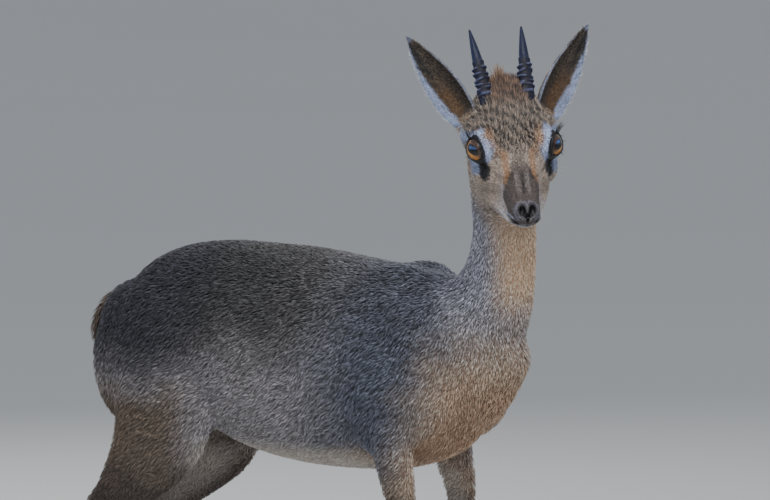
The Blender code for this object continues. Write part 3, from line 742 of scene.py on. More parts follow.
# %% Fields of colour
COAT_COLOURS = {
    "back": ((20, 19, 21), (128, 126, 128)),
    "rump": ((21, 20, 26), (104, 103, 114)),
    "flank": ((92, 88, 92), (226, 221, 226)),
    "shoulder": ((32, 34, 43), (154, 161, 182)),
    "neck": ((88, 87, 97), (230, 232, 248)),
    "chest": ((170, 140, 114), (254, 238, 214)),
    "brisket": ((140, 108, 86), (230, 196, 164)),
    "belly": ((176, 166, 156), (234, 228, 220)),
    # The upper legs are darker and greyer than their own colour: painted shade under the body.
    "leg": ((50, 43, 41), (114, 98, 90)),
    "shank": ((122, 92, 68), (192, 160, 128)),
    "thigh": ((78, 66, 58), (164, 146, 128)),
    "forehead": ((13, 11, 13), (184, 164, 148)),
    "temple": ((60, 52, 50), (190, 172, 154)),
    "crown": ((24, 17, 16), (148, 112, 88)),
    "bridge": ((40, 33, 33), (112, 98, 94)),
    "edge_line": ((126, 86, 56), (206, 160, 114)),
    "cheek": ((126, 110, 99), (234, 219, 205)),
    "muzzle": ((136, 126, 125), (228, 221, 223)),
    # The pale ring is white fur tinted blue; the blue tint is painted sky light.
    "ring": ((122, 132, 160), (192, 205, 236)),
    "white": ((180, 178, 182), (232, 232, 236)),
    "nose_front": ((72, 68, 73), (152, 148, 158)),
    "wisp": ((72, 52, 40), (172, 138, 108)),
    "throat": ((206, 168, 136), (255, 240, 214)),
    "lip": ((16, 14, 16), (40, 36, 40)),
    "black": ((11, 11, 14), (28, 28, 34)),
    "ear_back": ((98, 82, 70), (176, 156, 136)),
    "ear_inside": ((44, 39, 36), (102, 90, 78)),
    "ear_rust": ((82, 58, 38), (128, 96, 64)),
    "tail": ((66, 56, 52), (140, 124, 112)),
}


def linear(colour):
    """A colour told from 0 to 255 as a screen shows it, in the renderer's own measure."""
    share = np.array(colour) / 255
    return np.where(share <= 0.04045, share / 12.92, ((share + 0.055) / 1.055) ** 2.4)


COAT_COLOURS = {name: [linear(one) for one in pair] for name, pair in COAT_COLOURS.items()}


def near(points, place, radii):
    """1 at a place, falling to 0 at the edge of an egg shape round it."""
    away = np.linalg.norm((points - np.array(place)) / np.array(radii), axis=1)
    return step(1.0, 0.55, away)


def wander(points, size, seed):
    """A soft noise from -1 to 1 whose patches are about the given size."""
    draw = np.random.default_rng(seed)
    total = np.zeros(len(points))
    for scale in (1.0, 1.7, 2.9):
        for _ in range(3):
            wave = draw.normal(size=3)
            wave *= scale * 2 * math.pi / (size * 2 * np.linalg.norm(wave))
            total += np.sin(points @ wave + draw.uniform(0, 6.28)) / scale
    return np.clip(total / 4, -1, 1)


GLAND = (0.0165, 0.0215, -0.0068)
GLAND_RADII = (0.0064, 0.0064, 0.0082)
EDGE_LINE = ((0.0150, 0.0092, 0.0085), (0.0210, 0.0090, 0.0062), (0.0300, 0.0094, 0.0038), (0.0330, 0.0112, 0.0005))
BROW_LINE = ((-0.0040, 0.0180, 0.0135), (0.0060, 0.0165, 0.0105), (0.0125, 0.0135, 0.0085))
TEAR_LINE = ((0.0177, 0.0193, -0.0030), (0.0240, 0.0160, -0.0018), (0.0300, 0.0125, 0.0005))
EAR_TO_EYE = ((-0.0090, 0.0300, 0.0040), (-0.0200, 0.0330, -0.0080), (-0.0290, 0.0345, -0.0080))
TEAR_DUCT = ((0.0090, 0.0255, 0.0040), (0.0125, 0.0240, -0.0010), (0.0150, 0.0220, -0.0060))
# The pale ring's width round the eye: direction from the nose's side upwards in degrees, width.
RING_WIDTHS = np.array(
    (
        (-180, 0.0036),
        (-135, 0.0050),
        (-90, 0.0080),
        (-62, 0.0116),
        (-45, 0.0122),
        (-28, 0.0104),
        (-14, 0.0054),
        (0, 0.0052),
        (30, 0.0056),
        (60, 0.0046),
        (90, 0.0038),
        (125, 0.0044),
        (150, 0.0062),
        (180, 0.0030),
    )
)
# Half width of the dark bridge of the nose along the face.
BRIDGE_WIDTHS = np.array(((0.002, 0.0010), (0.015, 0.0034), (0.026, 0.0060), (0.0315, 0.0098), (0.036, 0.0118), (0.044, 0.0300)))


def round_eye(place):
    """For each place on the head: distance beyond the lids' edge, direction, and if on that side."""
    beyond = np.full(len(place), 1.0)
    turn = np.zeros(len(place))
    for sign in SIDES.values():
        middle, look, slant, rise = (np.array(one) for one in eye_axes(sign))
        from_eye = place - middle
        along, up = from_eye @ slant, from_eye @ rise
        angle = np.arctan2(up / LID_HALF_HEIGHT, along / LID_HALF_LENGTH)
        rim = np.hypot(LID_HALF_LENGTH * np.cos(angle), LID_HALF_HEIGHT * np.abs(np.sin(angle)) ** 1.35)
        off = np.hypot(along, up) - rim
        mine = (place[:, 1] * sign > 0.006) & (from_eye @ look > -0.013)
        beyond = np.where(mine, off, beyond)
        turn = np.where(mine, np.degrees(np.arctan2(up, along)), turn)
    return beyond, turn


def head_colours(place, lay):
    """Lays the head's fields, seen from midway between the eyes."""
    ahead, aside, above = place.T
    outward = np.abs(aside)
    folded = place.copy()
    folded[:, 1] = outward
    drift = wander(place, 0.008, 21) * 0.0018
    lay("cheek", np.ones(len(place)))
    lay("temple", step(-0.012, 0.000, above + drift) * step(0.016, 0.000, ahead))
    lay("forehead", step(0.0220, 0.0170, outward + drift) * step(-0.002, 0.006, above) * step(0.022, 0.006, ahead + drift))
    lay("crown", step(-0.016, -0.032, ahead + drift) * step(0.016, 0.009, outward) * step(0.0, 0.008, above) * 0.85)
    lay("muzzle", step(0.026, 0.038, ahead + drift) * step(0.002, -0.004, above))
    lay("throat", step(-0.020, -0.030, above + 0.25 * ahead) * step(0.012, 0.004, outward))
    half = np.interp(ahead, BRIDGE_WIDTHS[:, 0], BRIDGE_WIDTHS[:, 1])
    bridge = step(half + 0.0020, half - 0.0020, outward + drift) * step(0.006, 0.034, ahead)
    lay("bridge", bridge * step(-0.0140, -0.0105, above) * 0.92)
    along = step(0.029, 0.034, ahead) * step(0.052, 0.047, ahead)
    lay("muzzle", along * step(0.0018, 0.0006, np.abs(outward - 0.0036 + drift * 0.4)) * (above > -0.004) * 0.22)
    lay("lip", near(folded, (0.0320, 0.0074, 0.0030), (0.0052, 0.0036, 0.0060)) * 0.55)
    lay("edge_line", path_near(folded, EDGE_LINE, 0.0034) * 0.70)
    lay("edge_line", path_near(folded, BROW_LINE, 0.0042) * 0.36)
    beyond, turn = round_eye(place)
    width = np.interp(turn, RING_WIDTHS[:, 0], RING_WIDTHS[:, 1]) + drift
    lay("ring", step(width + 0.0012, width - 0.0014, beyond))
    lay("ring", path_near(folded, EAR_TO_EYE, 0.0064))
    lay("black", path_near(folded, TEAR_LINE, 0.0022) * step(-0.5, 0.3, wander(place, 0.0016, 23)) * 0.8)
    lay("black", near(folded, GLAND, GLAND_RADII))
    lay("black", path_near(folded, TEAR_DUCT, 0.0056))
    lay("black", lid_edge(place))
    lay("lip", step(0.0013, 0.0004, outward) * along * (above > -0.004) * 0.8)
    lay("white", step(0.0004, -0.0014, lip_line(place)) * step(0.036, 0.050, ahead) * 0.70)
    lay("nose_front", nose_front(place))
    lay("ring", path_near(folded, NOSE_EDGE, 0.0012) * 0.42)
    lay("ring", path_near(folded, UPPER_LIP, 0.0015) * step(0.066, 0.060, ahead) * 0.6)
    lay("white", path_near(folded, UPPER_LIP, 0.0010) * step(0.058, 0.062, ahead) * 0.7)
    lay("lip", path_near(folded, MOUTH, 0.0017) * step(0.048, 0.058, ahead))
    lay("lip", path_near(folded, LOWER_LIP, 0.0020) * step(0.054, 0.062, ahead))
    lay("black", nose_pad(place))


def lip_line(place):
    """How far above the line of the mouth each place on the head lies."""
    line = np.array(MOUTH)
    return place[:, 2] - np.interp(place[:, 0], line[:, 0], line[:, 2])


def path_near(points, path, width):
    """1 on a path of places, falling to 0 at its width to either side."""
    return step(width, width * 0.45, path_distance(points, path))


# The middle of the nose's front, told level from midway between the eyes.
NOSE_HEIGHT = -0.0395


def nose_front(place):
    """1 on the flat front of the nose, an upright oval whose fur is thin and grey."""
    ahead, aside, above = place.T
    level_ahead = ahead * math.cos(HEAD_NOD) + above * math.sin(HEAD_NOD)
    height = above * math.cos(HEAD_NOD) - ahead * math.sin(HEAD_NOD)
    reach = np.hypot(aside / 0.0082, (height - NOSE_HEIGHT) / 0.0063)
    return step(1.06, 0.90, reach) * step(0.0415, 0.0435, level_ahead)


def nose_pad(place):
    """1 on the bare leather: round each nostril, below the partition, and down the groove."""
    folded = place.copy()
    folded[:, 1] = np.abs(place[:, 1])
    pad = near(folded, NOSTRIL, (0.0072, 0.0040, 0.0042))
    pad = np.maximum(pad, path_near(folded, ((0.0655, 0.0034, 0.0010), (0.0668, 0.0, -0.0008)), 0.0026))
    groove = path_near(folded, ((0.0668, 0, -0.0008), (0.0678, 0, -0.0030), (0.0672, 0, -0.0060)), 0.0013)
    return np.maximum(pad, groove) * (place[:, 0] > 0.055)


def lid_edge(place):
    """How near each place on the head is to the bare black edge of the lids."""
    beyond, turn = round_eye(place)
    width = np.interp(turn, (-180, -90, -20, 20, 90, 150, 180), (0.0016, 0.0009, 0.0016, 0.0013, 0.0017, 0.0022, 0.0016))
    return step(width + 0.0004, width - 0.0004, beyond)


def body_colours(points, lay):
    """Lays the fields of the trunk, the neck, the legs and the tail."""
    x, y, z = points.T
    head, neck, leg, tail = shares(points)
    drift = wander(points, 0.03, 7) * 0.012
    lay("flank", np.ones(len(x)))
    lay("shoulder", step(-0.085, -0.010, x + drift))
    lay("back", step(0.312, 0.362, z + drift + 0.024 * step(0.0, -0.10, x)) * (1 - 0.72 * step(-0.10, 0.02, x)))
    lay("rump", step(-0.110, -0.190, x + drift) * step(0.270, 0.325, z + drift))
    lay("thigh", step(-0.150, -0.185, x) * step(0.300, 0.260, z + drift))
    lay("neck", step(0.030, 0.078, x + drift) * step(0.300, 0.350, z))
    front = np.abs(y + 0.02 * step(0.38, 0.46, z))
    lay("throat", step(0.030, 0.012, front) * step(0.0, 0.022, x - 0.078) * step(0.33, 0.37, z) * 0.95)
    lay("chest", step(0.015, 0.085, x + 0.55 * (0.300 - z) + drift) * step(0.370, 0.290, z) * 0.90)
    lay("chest", step(0.285, 0.245, z + drift) * step(-0.075, -0.020, x) * step(0.036, 0.022, np.abs(y)) * 0.85)
    low = step(0.318, 0.280, z) * step(0.010, 0.050, x + 0.4 * (0.300 - z) + drift)
    lay("brisket", low * step(0.042, 0.024, np.abs(y)) * 0.85)
    lay("belly", step(0.252, 0.238, z) * step(-0.185, -0.160, x) * step(0.01, -0.04, x) * step(0.050, 0.030, np.abs(y)))
    lay("belly", step(-0.160, -0.185, x) * step(0.030, 0.012, np.abs(y)) * step(0.300, 0.270, z))
    lay("belly", step(-0.240, -0.250, x) * step(0.016, 0.008, np.abs(y)) * step(0.325, 0.310, z))
    # Painted shade: the upper legs take this darker colour, as they lie in shade under the body.
    lay("leg", np.maximum(step(0.240, 0.205, z + drift), leg * step(0.275, 0.245, z)))
    lay("shank", step(0.170, 0.110, z + drift))
    inner = step(0.038, 0.028, np.abs(y)) * step(0.245, 0.225, z) * step(0.110, 0.170, z)
    lay("belly", inner * 0.85)
    lay("tail", tail)


def ear_places(points, sign):
    """How far along the ear, out of its hollow and towards its outer edge each place on the head is."""
    root, axis, opening, outer = (np.array(one) for one in ear_axes(sign))
    from_root = points - root
    return from_root @ axis / EAR_LENGTH, from_root @ opening, from_root @ outer


def ear_widths(share):
    """The ear's half width and depth at each share of its length."""
    rows = np.array(EAR)
    return np.interp(share, rows[:, 0], rows[:, 1]), np.interp(share, rows[:, 0], rows[:, 2])


def on_ear(place):
    """1 for the places that belong to an ear and its sign, and how far they are inside its cup."""
    belongs = np.zeros(len(place))
    inside = np.zeros(len(place))
    side = np.zeros(len(place))
    share = np.zeros(len(place))
    for sign in SIDES.values():
        along, out, across = ear_places(place, sign)
        half, depth = ear_widths(along)
        here = (along > 0.03) & (along < 1.03) & (np.abs(across) < half + 0.0012)
        here &= (out < 0.0035) & (out > -depth - 0.0016)
        reach = np.sqrt(np.clip(1 - (across / half) ** 2, 0, 1))
        wall = -depth * reach + EAR_WALL * 0.55
        belongs = np.where(here, 1.0, belongs)
        inside = np.where(here, (out > wall) & (along > 0.085), inside)
        side = np.where(here, across / half, side)
        share = np.where(here, along, share)
    return belongs, inside, side, share


def ear_colours(place, lay):
    """Lays the ears' fields: furry backs, dusky hollows, and a pale fringe at the outer edge."""
    belongs, inside, side, share = on_ear(place)
    lay("ear_back", belongs * (1 - inside))
    hollow = belongs * inside
    lay("ear_inside", hollow)
    drift = wander(place, 0.010, 31) * 0.12
    lay("ear_rust", hollow * step(0.66, 0.30, share + drift) * step(-0.3, 0.30, side + drift) * 0.75)
    lay("black", hollow * step(0.62, 0.85, share) * step(0.0, 0.5, side) * 0.85)
    lay("black", hollow * step(0.40, 0.70, share) * step(0.30, 0.42, side) * step(0.66, 0.55, side) * 0.6)
    starts = np.interp(share, (0.0, 0.20, 0.45, 0.75, 1.0), (0.30, 0.68, 0.76, 0.82, 0.97))
    lay("ring", belongs * step(starts - 0.06, starts + 0.06, side + drift * 0.6))
    lay("ring", belongs * step(-0.92, -0.98, side) * 0.55)
    lay("ring", belongs * step(0.93, 0.98, share) * 0.60)


def coat_colours(points):
    """The dark and the pale band of the hairs at each place."""
    dark = np.zeros((len(points), 3))
    pale = np.zeros((len(points), 3))
    limit = np.ones(len(points))

    def lay(name, share):
        share = (np.asarray(share, float) * limit)[:, None]
        one, two = COAT_COLOURS[name]
        dark[:] = dark * (1 - share) + one * share
        pale[:] = pale * (1 - share) + two * share

    body_colours(points, lay)
    place = on_head(points)
    limit = shares(points)[0]
    head_colours(place, lay)
    limit = np.ones(len(points))
    ear_colours(place, lay)
    limit = shares(points)[0]
    folded = folded_head(points)
    lay("ring", path_near(folded, EAR_TO_EYE, 0.0056) * step(0.034, 0.028, np.abs(place[:, 2])))
    return dark, pale


def bare(points):
    """1 where there is skin without hair: the nose, the lids' edges, the gland and the lips."""
    place = on_head(points)
    folded = folded_head(points)
    worn = np.maximum(nose_pad(place), lid_edge(place))
    worn = np.maximum(worn, near(folded, GLAND, np.array(GLAND_RADII) * 0.62))
    worn = np.maximum(worn, path_near(folded, MOUTH, 0.0012) * step(0.050, 0.057, folded[:, 0]))
    return worn * step(0.4, 0.6, shares(points)[0])


def nostril_shade_share(points):
    """1 inside the nostrils, where no light comes out again, and along the crease below them: painted shade."""
    place = folded_head(points)
    inside = near(place, NOSTRIL, np.array(NOSTRIL_RADII) * 1.15)
    inside = np.maximum(inside, near(place, NOSTRIL_SLIT, np.array(NOSTRIL_SLIT_RADII) * 1.3))
    crease = ((0.0655, 0.0028, 0.0010), (0.0670, 0.0, -0.0008), (0.0678, 0.0, -0.0030))
    return np.maximum(inside, path_near(place, crease, 0.0018) * 0.85)


def paint(made, dark, pale, worn):
    """Stores colours, bareness and the painted shade of the nostrils in the mesh, one for each vertex."""
    mesh = made.data
    for name, colour in (("dark", dark), ("pale", pale)):
        kept = mesh.attributes.new(name, "FLOAT_COLOR", "POINT")
        kept.data.foreach_set("color", np.column_stack((colour, np.ones(len(colour)))).ravel())
    for name, share in (("bare", worn), ("pit", nostril_shade_share(coordinates(mesh)))):
        kept = mesh.attributes.new(name, "FLOAT", "POINT")
        kept.data.foreach_set("value", np.ascontiguousarray(share, dtype=np.float32))


points = coordinates(skin.data)
paint(skin, *coat_colours(points), bare(points))
told(f"colours: {len(COAT_COLOURS)} fields")

# %% [markdown]
# ## The coat
# Real fur is millions of hairs. Blender can grow them as curves, but curves are lost when a model
# is printed or exported. So the coat is made of small solid tufts, each a three-sided blade with
# ten triangles. A tuft starts just under the skin, lies back along the body and ends in a point
# over the roots of the next ones.

# %% Which way the coat lies
BACK_LIE = np.array(
    (
        (-0.290, 84),
        (-0.250, 74),
        (-0.200, 48),
        (-0.100, 34),
        (0.000, 48),
        (0.040, 66),
        (0.090, 86),
    )
)


def body_lie(points):
    """The direction in which hairs lie on the trunk, the neck, the legs and the tail."""
    x, y, z = points.T
    head, neck, leg, tail = shares(points)
    angle = np.interp(x, BACK_LIE[:, 0], BACK_LIE[:, 1])
    angle = angle * step(0.395, 0.320, z) + 10 * step(0.320, 0.395, z) * (1 - neck)
    angle = angle + wander(points, 0.035, 3) * 10
    angle = np.radians(angle)
    lie = np.column_stack((-np.cos(angle), np.sign(y) * 0.10 * np.sin(angle), -np.sin(angle)))
    down = np.array((-0.10, 0.0, -1.0))
    share = np.maximum(leg, neck)[:, None]
    lie = lie * (1 - share) + down * share
    share = tail[:, None]
    return lie * (1 - share) + np.array((-0.15, 0, -1.0)) * share


def head_lie(place):
    """The direction in which hairs lie on the head, told on the head."""
    ahead, aside, above = place.T
    fan = np.clip(aside / 0.03, -1, 1)
    lie = np.column_stack((-np.ones(len(ahead)), 0.45 * fan, -0.10 * np.ones(len(ahead))))
    lie[:, 2] += 0.35 * step(0.0, 0.012, above) * step(0.02, -0.02, ahead)
    cheek = step(-0.010, -0.025, above)
    lie[:, 2] -= 0.55 * cheek
    for sign in SIDES.values():
        middle = np.array(eye_axes(sign)[0])
        away = place - middle
        close = step(0.024, 0.013, np.linalg.norm(away, axis=1))
        spread = away / (np.linalg.norm(away, axis=1)[:, None] + 1e-6)
        lie += spread * (close * 0.8 * (ahead < 0.012))[:, None]
    return lie


def coat_lie(points, normals):
    """The direction of the hairs at each place, flat on the skin."""
    place = on_head(points)
    lie = body_lie(points)
    share = shares(points)[0][:, None]
    lie = lie * (1 - share) + (head_lie(place) @ HEAD[:3, :3].T) * share
    belongs = on_ear(place)[0]
    for sign in SIDES.values():
        axis = HEAD[:3, :3] @ np.array(ear_axes(sign)[1])
        here = (belongs > 0.5) & (np.sign(place[:, 1]) == sign)
        lie[here] = axis
    lie = lie - normals * (lie * normals).sum(1)[:, None]
    return lie / (np.linalg.norm(lie, axis=1)[:, None] + 1e-9)


# %% How long and how wide a tuft is
def tuft_sizes(points):
    """Length, width, rise off the skin and number per square centimetre, for each place."""
    x, y, z = points.T
    head, neck, leg, tail = shares(points)
    place = on_head(points)
    ahead, aside, above = place.T
    sizes = np.tile((0.0060, 0.00078, 0.0024, 72.0), (len(points), 1))

    def lay(share, *row):
        share = np.asarray(share, float)[:, None]
        sizes[:] = sizes * (1 - share) + np.array(row) * share

    lay(step(-0.13, -0.22, x) * step(0.26, 0.32, z), 0.0070, 0.00084, 0.0029, 68)
    lay(neck, 0.0050, 0.00068, 0.0018, 84)
    lay(step(0.235, 0.190, z), 0.0040, 0.00078, 0.0010, 66)
    lay(leg, 0.0030, 0.00070, 0.0007, 66)
    lay(step(0.045, 0.020, z), 0.0024, 0.00068, 0.0007, 66)
    lay(tail, 0.0100, 0.0010, 0.0030, 70)
    lay(head, 0.0030, 0.00050, 0.0007, 175)
    lay(head * step(0.010, -0.008, ahead) * step(-0.004, 0.008, above), 0.0066, 0.00050, 0.0012, 215)
    lay(head * step(0.014, 0.030, ahead), 0.0019, 0.00040, 0.0004, 220)
    lay(head * step(-0.016, -0.030, ahead) * step(0.0, -0.015, above), 0.0042, 0.00062, 0.0010, 130)
    beyond, turn = round_eye(place)
    lay(head * step(0.0080, 0.0040, beyond), 0.0022, 0.00040, 0.0004, 210)
    belongs, inside, side, share = on_ear(place)
    lay(belongs, 0.0026, 0.00048, 0.0004, 130)
    lay(belongs * inside, 0.0024, 0.00036, 0.0003, 90)
    lay(belongs * step(0.35, 0.55, side) * step(0.95, 0.80, share), 0.0036, 0.00042, 0.0006, 190)
    return sizes


# %% Growing the tufts
PATCH = 0.003
COAT_THICKNESS = 0.84
TUFT_FACES = ((0, 2, 1), (0, 1, 4), (0, 4, 3), (1, 2, 5), (1, 5, 4), (2, 0, 3), (2, 3, 5), (3, 4, 6), (4, 5, 6), (5, 3, 6))
TUFT_PLACES = ((0, 0), (1, 0), (0.5, 0.1), (0.05, 0.5), (0.95, 0.5), (0.5, 0.6), (0.5, 1))


def skin_samples(made, draw, wanted):
    """Places and outward directions at random over the skin, thick where the coat is."""
    mesh = made.data
    mesh.calc_loop_triangles()
    corners = np.empty(len(mesh.loop_triangles) * 3, int)
    mesh.loop_triangles.foreach_get("vertices", corners)
    corners = corners.reshape(-1, 3)
    points, normals = coordinates(mesh), normals_of(mesh)
    cross = np.cross(points[corners[:, 1]] - points[corners[:, 0]], points[corners[:, 2]] - points[corners[:, 0]])
    area = np.linalg.norm(cross, axis=1) / 2
    middles = points[corners].mean(axis=1)
    sizes = tuft_sizes(middles)
    weight = area * 1e4 * sizes[:, 3] * COAT_THICKNESS * wanted(middles, cross / (2 * area[:, None] + 1e-15))
    heap = np.cumsum(weight)
    count = int(heap[-1])
    reads = (np.arange(count) + draw.random(count)) * heap[-1] / count
    chosen = np.searchsorted(heap, reads)
    chosen = np.minimum(chosen, len(corners) - 1)
    one, two = draw.random(count), draw.random(count)
    flip = one + two > 1
    one[flip], two[flip] = 1 - one[flip], 1 - two[flip]
    mix = np.column_stack((1 - one - two, one, two))
    place = (points[corners[chosen]] * mix[:, :, None]).sum(1)
    out = (normals[corners[chosen]] * mix[:, :, None]).sum(1)
    out /= np.linalg.norm(out, axis=1)[:, None]
    return place, out


def hairy(middles, outs):
    """Where tufts may grow: not on bare skin, in the sockets, in the nostrils or under a horn."""
    place = on_head(middles)
    allowed = bare(middles) < 0.5
    for sign in SIDES.values():
        eye = np.array(eye_axes(sign)[0])
        allowed &= np.linalg.norm(place - eye, axis=1) > EYE_RADIUS + 0.0006
        nose = (place - np.array(mirrored(NOSTRIL, sign))) / (np.array(NOSTRIL_RADII) * 1.15)
        allowed &= np.linalg.norm(nose, axis=1) > 1
        horn = np.linalg.norm(place - np.array(mirrored(HORN_ROOT, sign)), axis=1)
        allowed &= horn > HORN_RADIUS
        slit = (place - np.array(mirrored(NOSTRIL_SLIT, sign))) / (np.array(NOSTRIL_SLIT_RADII) * 1.1)
        allowed &= np.linalg.norm(slit, axis=1) > 1
    allowed &= middles[:, 2] > 0.0155
    return allowed.astype(float)


def strands(points):
    """How far neighbouring tufts share one tone, and that tone: long clumps on the forehead."""
    place = on_head(points)
    head, neck, leg, tail = shares(points)
    brow = head * step(0.024, 0.012, place[:, 0]) * step(-0.006, 0.004, place[:, 2])
    narrow = place * np.array((0.20, 1.0, 0.25))
    narrow[:, 1] += place[:, 0] * place[:, 1] * 12
    long_tone = 0.42 + 2.1 * wander(narrow, 0.0010, 41)
    tone = long_tone * brow + (0.5 + 0.9 * wander(points, 0.0022, 42)) * (1 - brow)
    return 0.28 + 0.44 * brow, tone


def tuft_mesh(name, roots, outs, lies, sizes, dark, pale, where, draw, upright=False):
    """One piece of coat from many tufts, with colours and a bake map."""
    count = len(roots)
    length, width, rise = sizes[:, 0], sizes[:, 1], sizes[:, 2]
    turn = draw.normal(0, 0.16, count) + wander(roots, 0.012, 5) * 0.28
    side = np.cross(outs, lies)
    lies = lies * np.cos(turn)[:, None] + side * np.sin(turn)[:, None]
    side = np.cross(outs, lies)
    length = length * draw.uniform(0.72, 1.22, count)
    width = width * draw.uniform(0.75, 1.2, count)
    rise = rise * draw.uniform(0.35, 1.15, count)
    roll = draw.normal(0, 0.25, count)[:, None]
    flat = side * np.cos(roll) + outs * np.sin(roll)
    thick = width * 0.55
    spots = np.empty((count, 7, 3))
    base = roots - (lies * 0.0020 if upright else outs * 0.0006)
    middle = roots + lies * (length * 0.45)[:, None] + outs * (rise * 0.85)[:, None]
    tip = roots + lies * length[:, None] + outs * rise[:, None]
    for number, centre, wide in ((0, base, 0.42), (3, middle, 0.5)):
        spots[:, number] = centre - flat * (width * wide)[:, None]
        spots[:, number + 1] = centre + flat * (width * wide)[:, None]
        spots[:, number + 2] = centre + outs * thick[:, None]
    spots[:, 6] = tip
    faces = (np.array(TUFT_FACES)[None] + np.arange(count)[:, None, None] * 7).reshape(-1, 3)
    mesh = bpy.data.meshes.new(name)
    mesh.vertices.add(count * 7)
    mesh.vertices.foreach_set("co", spots.ravel())
    mesh.loops.add(len(faces) * 3)
    mesh.loops.foreach_set("vertex_index", faces.ravel().astype(np.int32))
    mesh.polygons.add(len(faces))
    mesh.polygons.foreach_set("loop_start", np.arange(len(faces), dtype=np.int32) * 3)
    mesh.polygons.foreach_set("use_smooth", np.ones(len(faces), bool))
    mesh.update(calc_edges=True)
    mesh.validate()
    made = bpy.data.objects.new(name, mesh)
    bpy.context.collection.objects.link(made)
    tint = (1 + draw.normal(0, 0.10, count))[:, None]
    bands = np.array((0.0, 0.0, 0.0, 0.72, 0.72, 0.72, 1.0))
    clumped, tone = strands(roots)
    strength = (0.05 + 0.95 * draw.beta(0.7, 0.8, count)) * (1 - clumped) + tone * clumped
    strength = np.clip(strength, 0.03, 1)[:, None, None]
    share = bands[None, :, None] * strength
    colour = (dark * tint)[:, None] * (1 - share) + (pale * tint)[:, None] * share
    kept = mesh.attributes.new("coat", "FLOAT_COLOR", "POINT")
    filled = np.concatenate((np.clip(colour, 0, 1), np.ones((count, 7, 1))), axis=2)
    kept.data.foreach_set("color", filled.astype(np.float32).ravel())
    maps = mesh.uv_layers.new(name="OFBake")
    patch = where[:, None] + np.array(TUFT_PLACES)[None] * PATCH
    flat_map = patch.reshape(-1, 2)[faces.ravel()]
    maps.data.foreach_set("uv", flat_map.astype(np.float32).ravel())
    return made


def unwrapped(points, part):
    """Where each root lies on a wrap rolled round its own part of the body, from 0 to 1."""
    x, y, z = points.T
    place = on_head(points)
    if part == "head":
        turn = np.arctan2(place[:, 1], place[:, 2] + 0.012)
        along = place[:, 0]
    elif part == "ears":
        left = place[:, 1] > 0
        along = np.where(left, ear_places(place, 1)[0], ear_places(place, -1)[0])
        out = np.where(left, ear_places(place, 1)[1], ear_places(place, -1)[1])
        across = np.where(left, ear_places(place, 1)[2], ear_places(place, -1)[2])
        turn = np.arctan2(across, out + 0.002) / 2 + np.where(left, math.pi / 2, -math.pi / 2)
    elif part == "neck":
        turn = np.arctan2(y, x - 0.078)
        along = z
    elif part == "legs":
        fore = x > -0.1
        left = y > 0
        rows = np.array(FORELEG)
        hind = np.array(HINDLEG)
        axis_x = np.where(fore, np.interp(z, rows[::-1, 2], rows[::-1, 0]), np.interp(z, hind[::-1, 2], hind[::-1, 0]))
        turn = np.arctan2(np.abs(y) - 0.0365, x - axis_x) / 4
        turn = turn + (fore * 2.0 + left * 1.0) * math.pi / 2 - math.pi * 0.75
        along = z
    else:
        turn = np.arctan2(y, z - 0.305)
        along = x
    u = (turn + math.pi) / (2 * math.pi)
    v = (along - along.min()) / (along.max() - along.min() + 1e-9)
    return 0.01 + np.column_stack((u, v)) * 0.97


def part_of(points):
    """The part of the body each root belongs to."""
    head, neck, leg, tail = shares(points)
    belongs = on_ear(on_head(points))[0]
    part = np.full(len(points), "trunk")
    part[neck > 0.5] = "neck"
    part[points[:, 2] < 0.215] = "legs"
    part[head > 0.5] = "head"
    part[belongs > 0.5] = "ears"
    return part


PIECE_LIMIT = 19500
draw = np.random.default_rng(12)
roots, outs = skin_samples(skin, draw, hairy)
told(f"roots: {len(roots)}")
lies = coat_lie(roots, outs)
sizes = tuft_sizes(roots)
dark, pale = coat_colours(roots)
part = part_of(roots)
coats = []
for name in ("trunk", "neck", "legs", "head", "ears"):
    mine = np.nonzero(part == name)[0]
    order = mine[np.argsort(roots[mine, 0] if name == "trunk" else roots[mine, 2])]
    count = math.ceil(len(order) / PIECE_LIMIT)
    for number, piece in enumerate(np.array_split(order, count)):
        where = unwrapped(roots[piece], name)
        made = tuft_mesh(
            f"coat_{name}_{number + 1}",
            roots[piece],
            outs[piece],
            lies[piece],
            sizes[piece],
            dark[piece],
            pale[piece],
            where,
            draw,
        )
        coats.append((name, made))

# %% The crest, and the hair round the horns
CREST_FROM, CREST_TO = -0.008, -0.052


def crest_ground(middles, outs):
    """Where the crest grows: between and in front of the horns."""
    place = on_head(middles)
    ahead, aside, above = place.T
    ground = step(CREST_FROM + 0.006, CREST_FROM - 0.010, ahead) * step(CREST_TO - 0.004, CREST_TO + 0.004, ahead)
    ground *= step(0.0150, 0.0110, np.abs(aside)) * (above > 0.0)
    for sign in SIDES.values():
        horn_away = np.linalg.norm(place - np.array(mirrored(HORN_ROOT, sign)), axis=1)
        ground *= horn_away > HORN_RADIUS
    return ground * 1.9


def collar_roots(made, draw):
    """Places in rings round the foot of each horn, found by looking down along it."""
    tree = BVHTree.FromObject(made, bpy.context.evaluated_depsgraph_get())
    place = head_place()
    found = []
    for sign in SIDES.values():
        level = Vector((-math.sin(HORN_LEAN), math.sin(HORN_SPREAD[sign]) * sign, math.cos(HORN_LEAN)))
        ahead = level_to_head(level)
        side = (Vector((0, 1, 0)) - ahead * ahead.y).normalized()
        other = ahead.cross(side)
        middle = mirrored(HORN_ROOT, sign)
        for number in range(COLLAR_HAIRS):
            turn = draw.uniform(0, 2 * math.pi)
            reach = HORN_RADIUS * draw.uniform(0.98, 1.45)
            start = middle + side * reach * math.cos(turn) + other * reach * math.sin(turn) + ahead * 0.03
            hit, out, _, _ = tree.ray_cast(place @ start, place.to_3x3() @ -ahead)
            if hit is not None:
                found.append((tuple(hit), tuple(out), tuple(place.to_3x3() @ ahead)))
    return [np.array(column) for column in zip(*found)]


COLLAR_HAIRS = 190
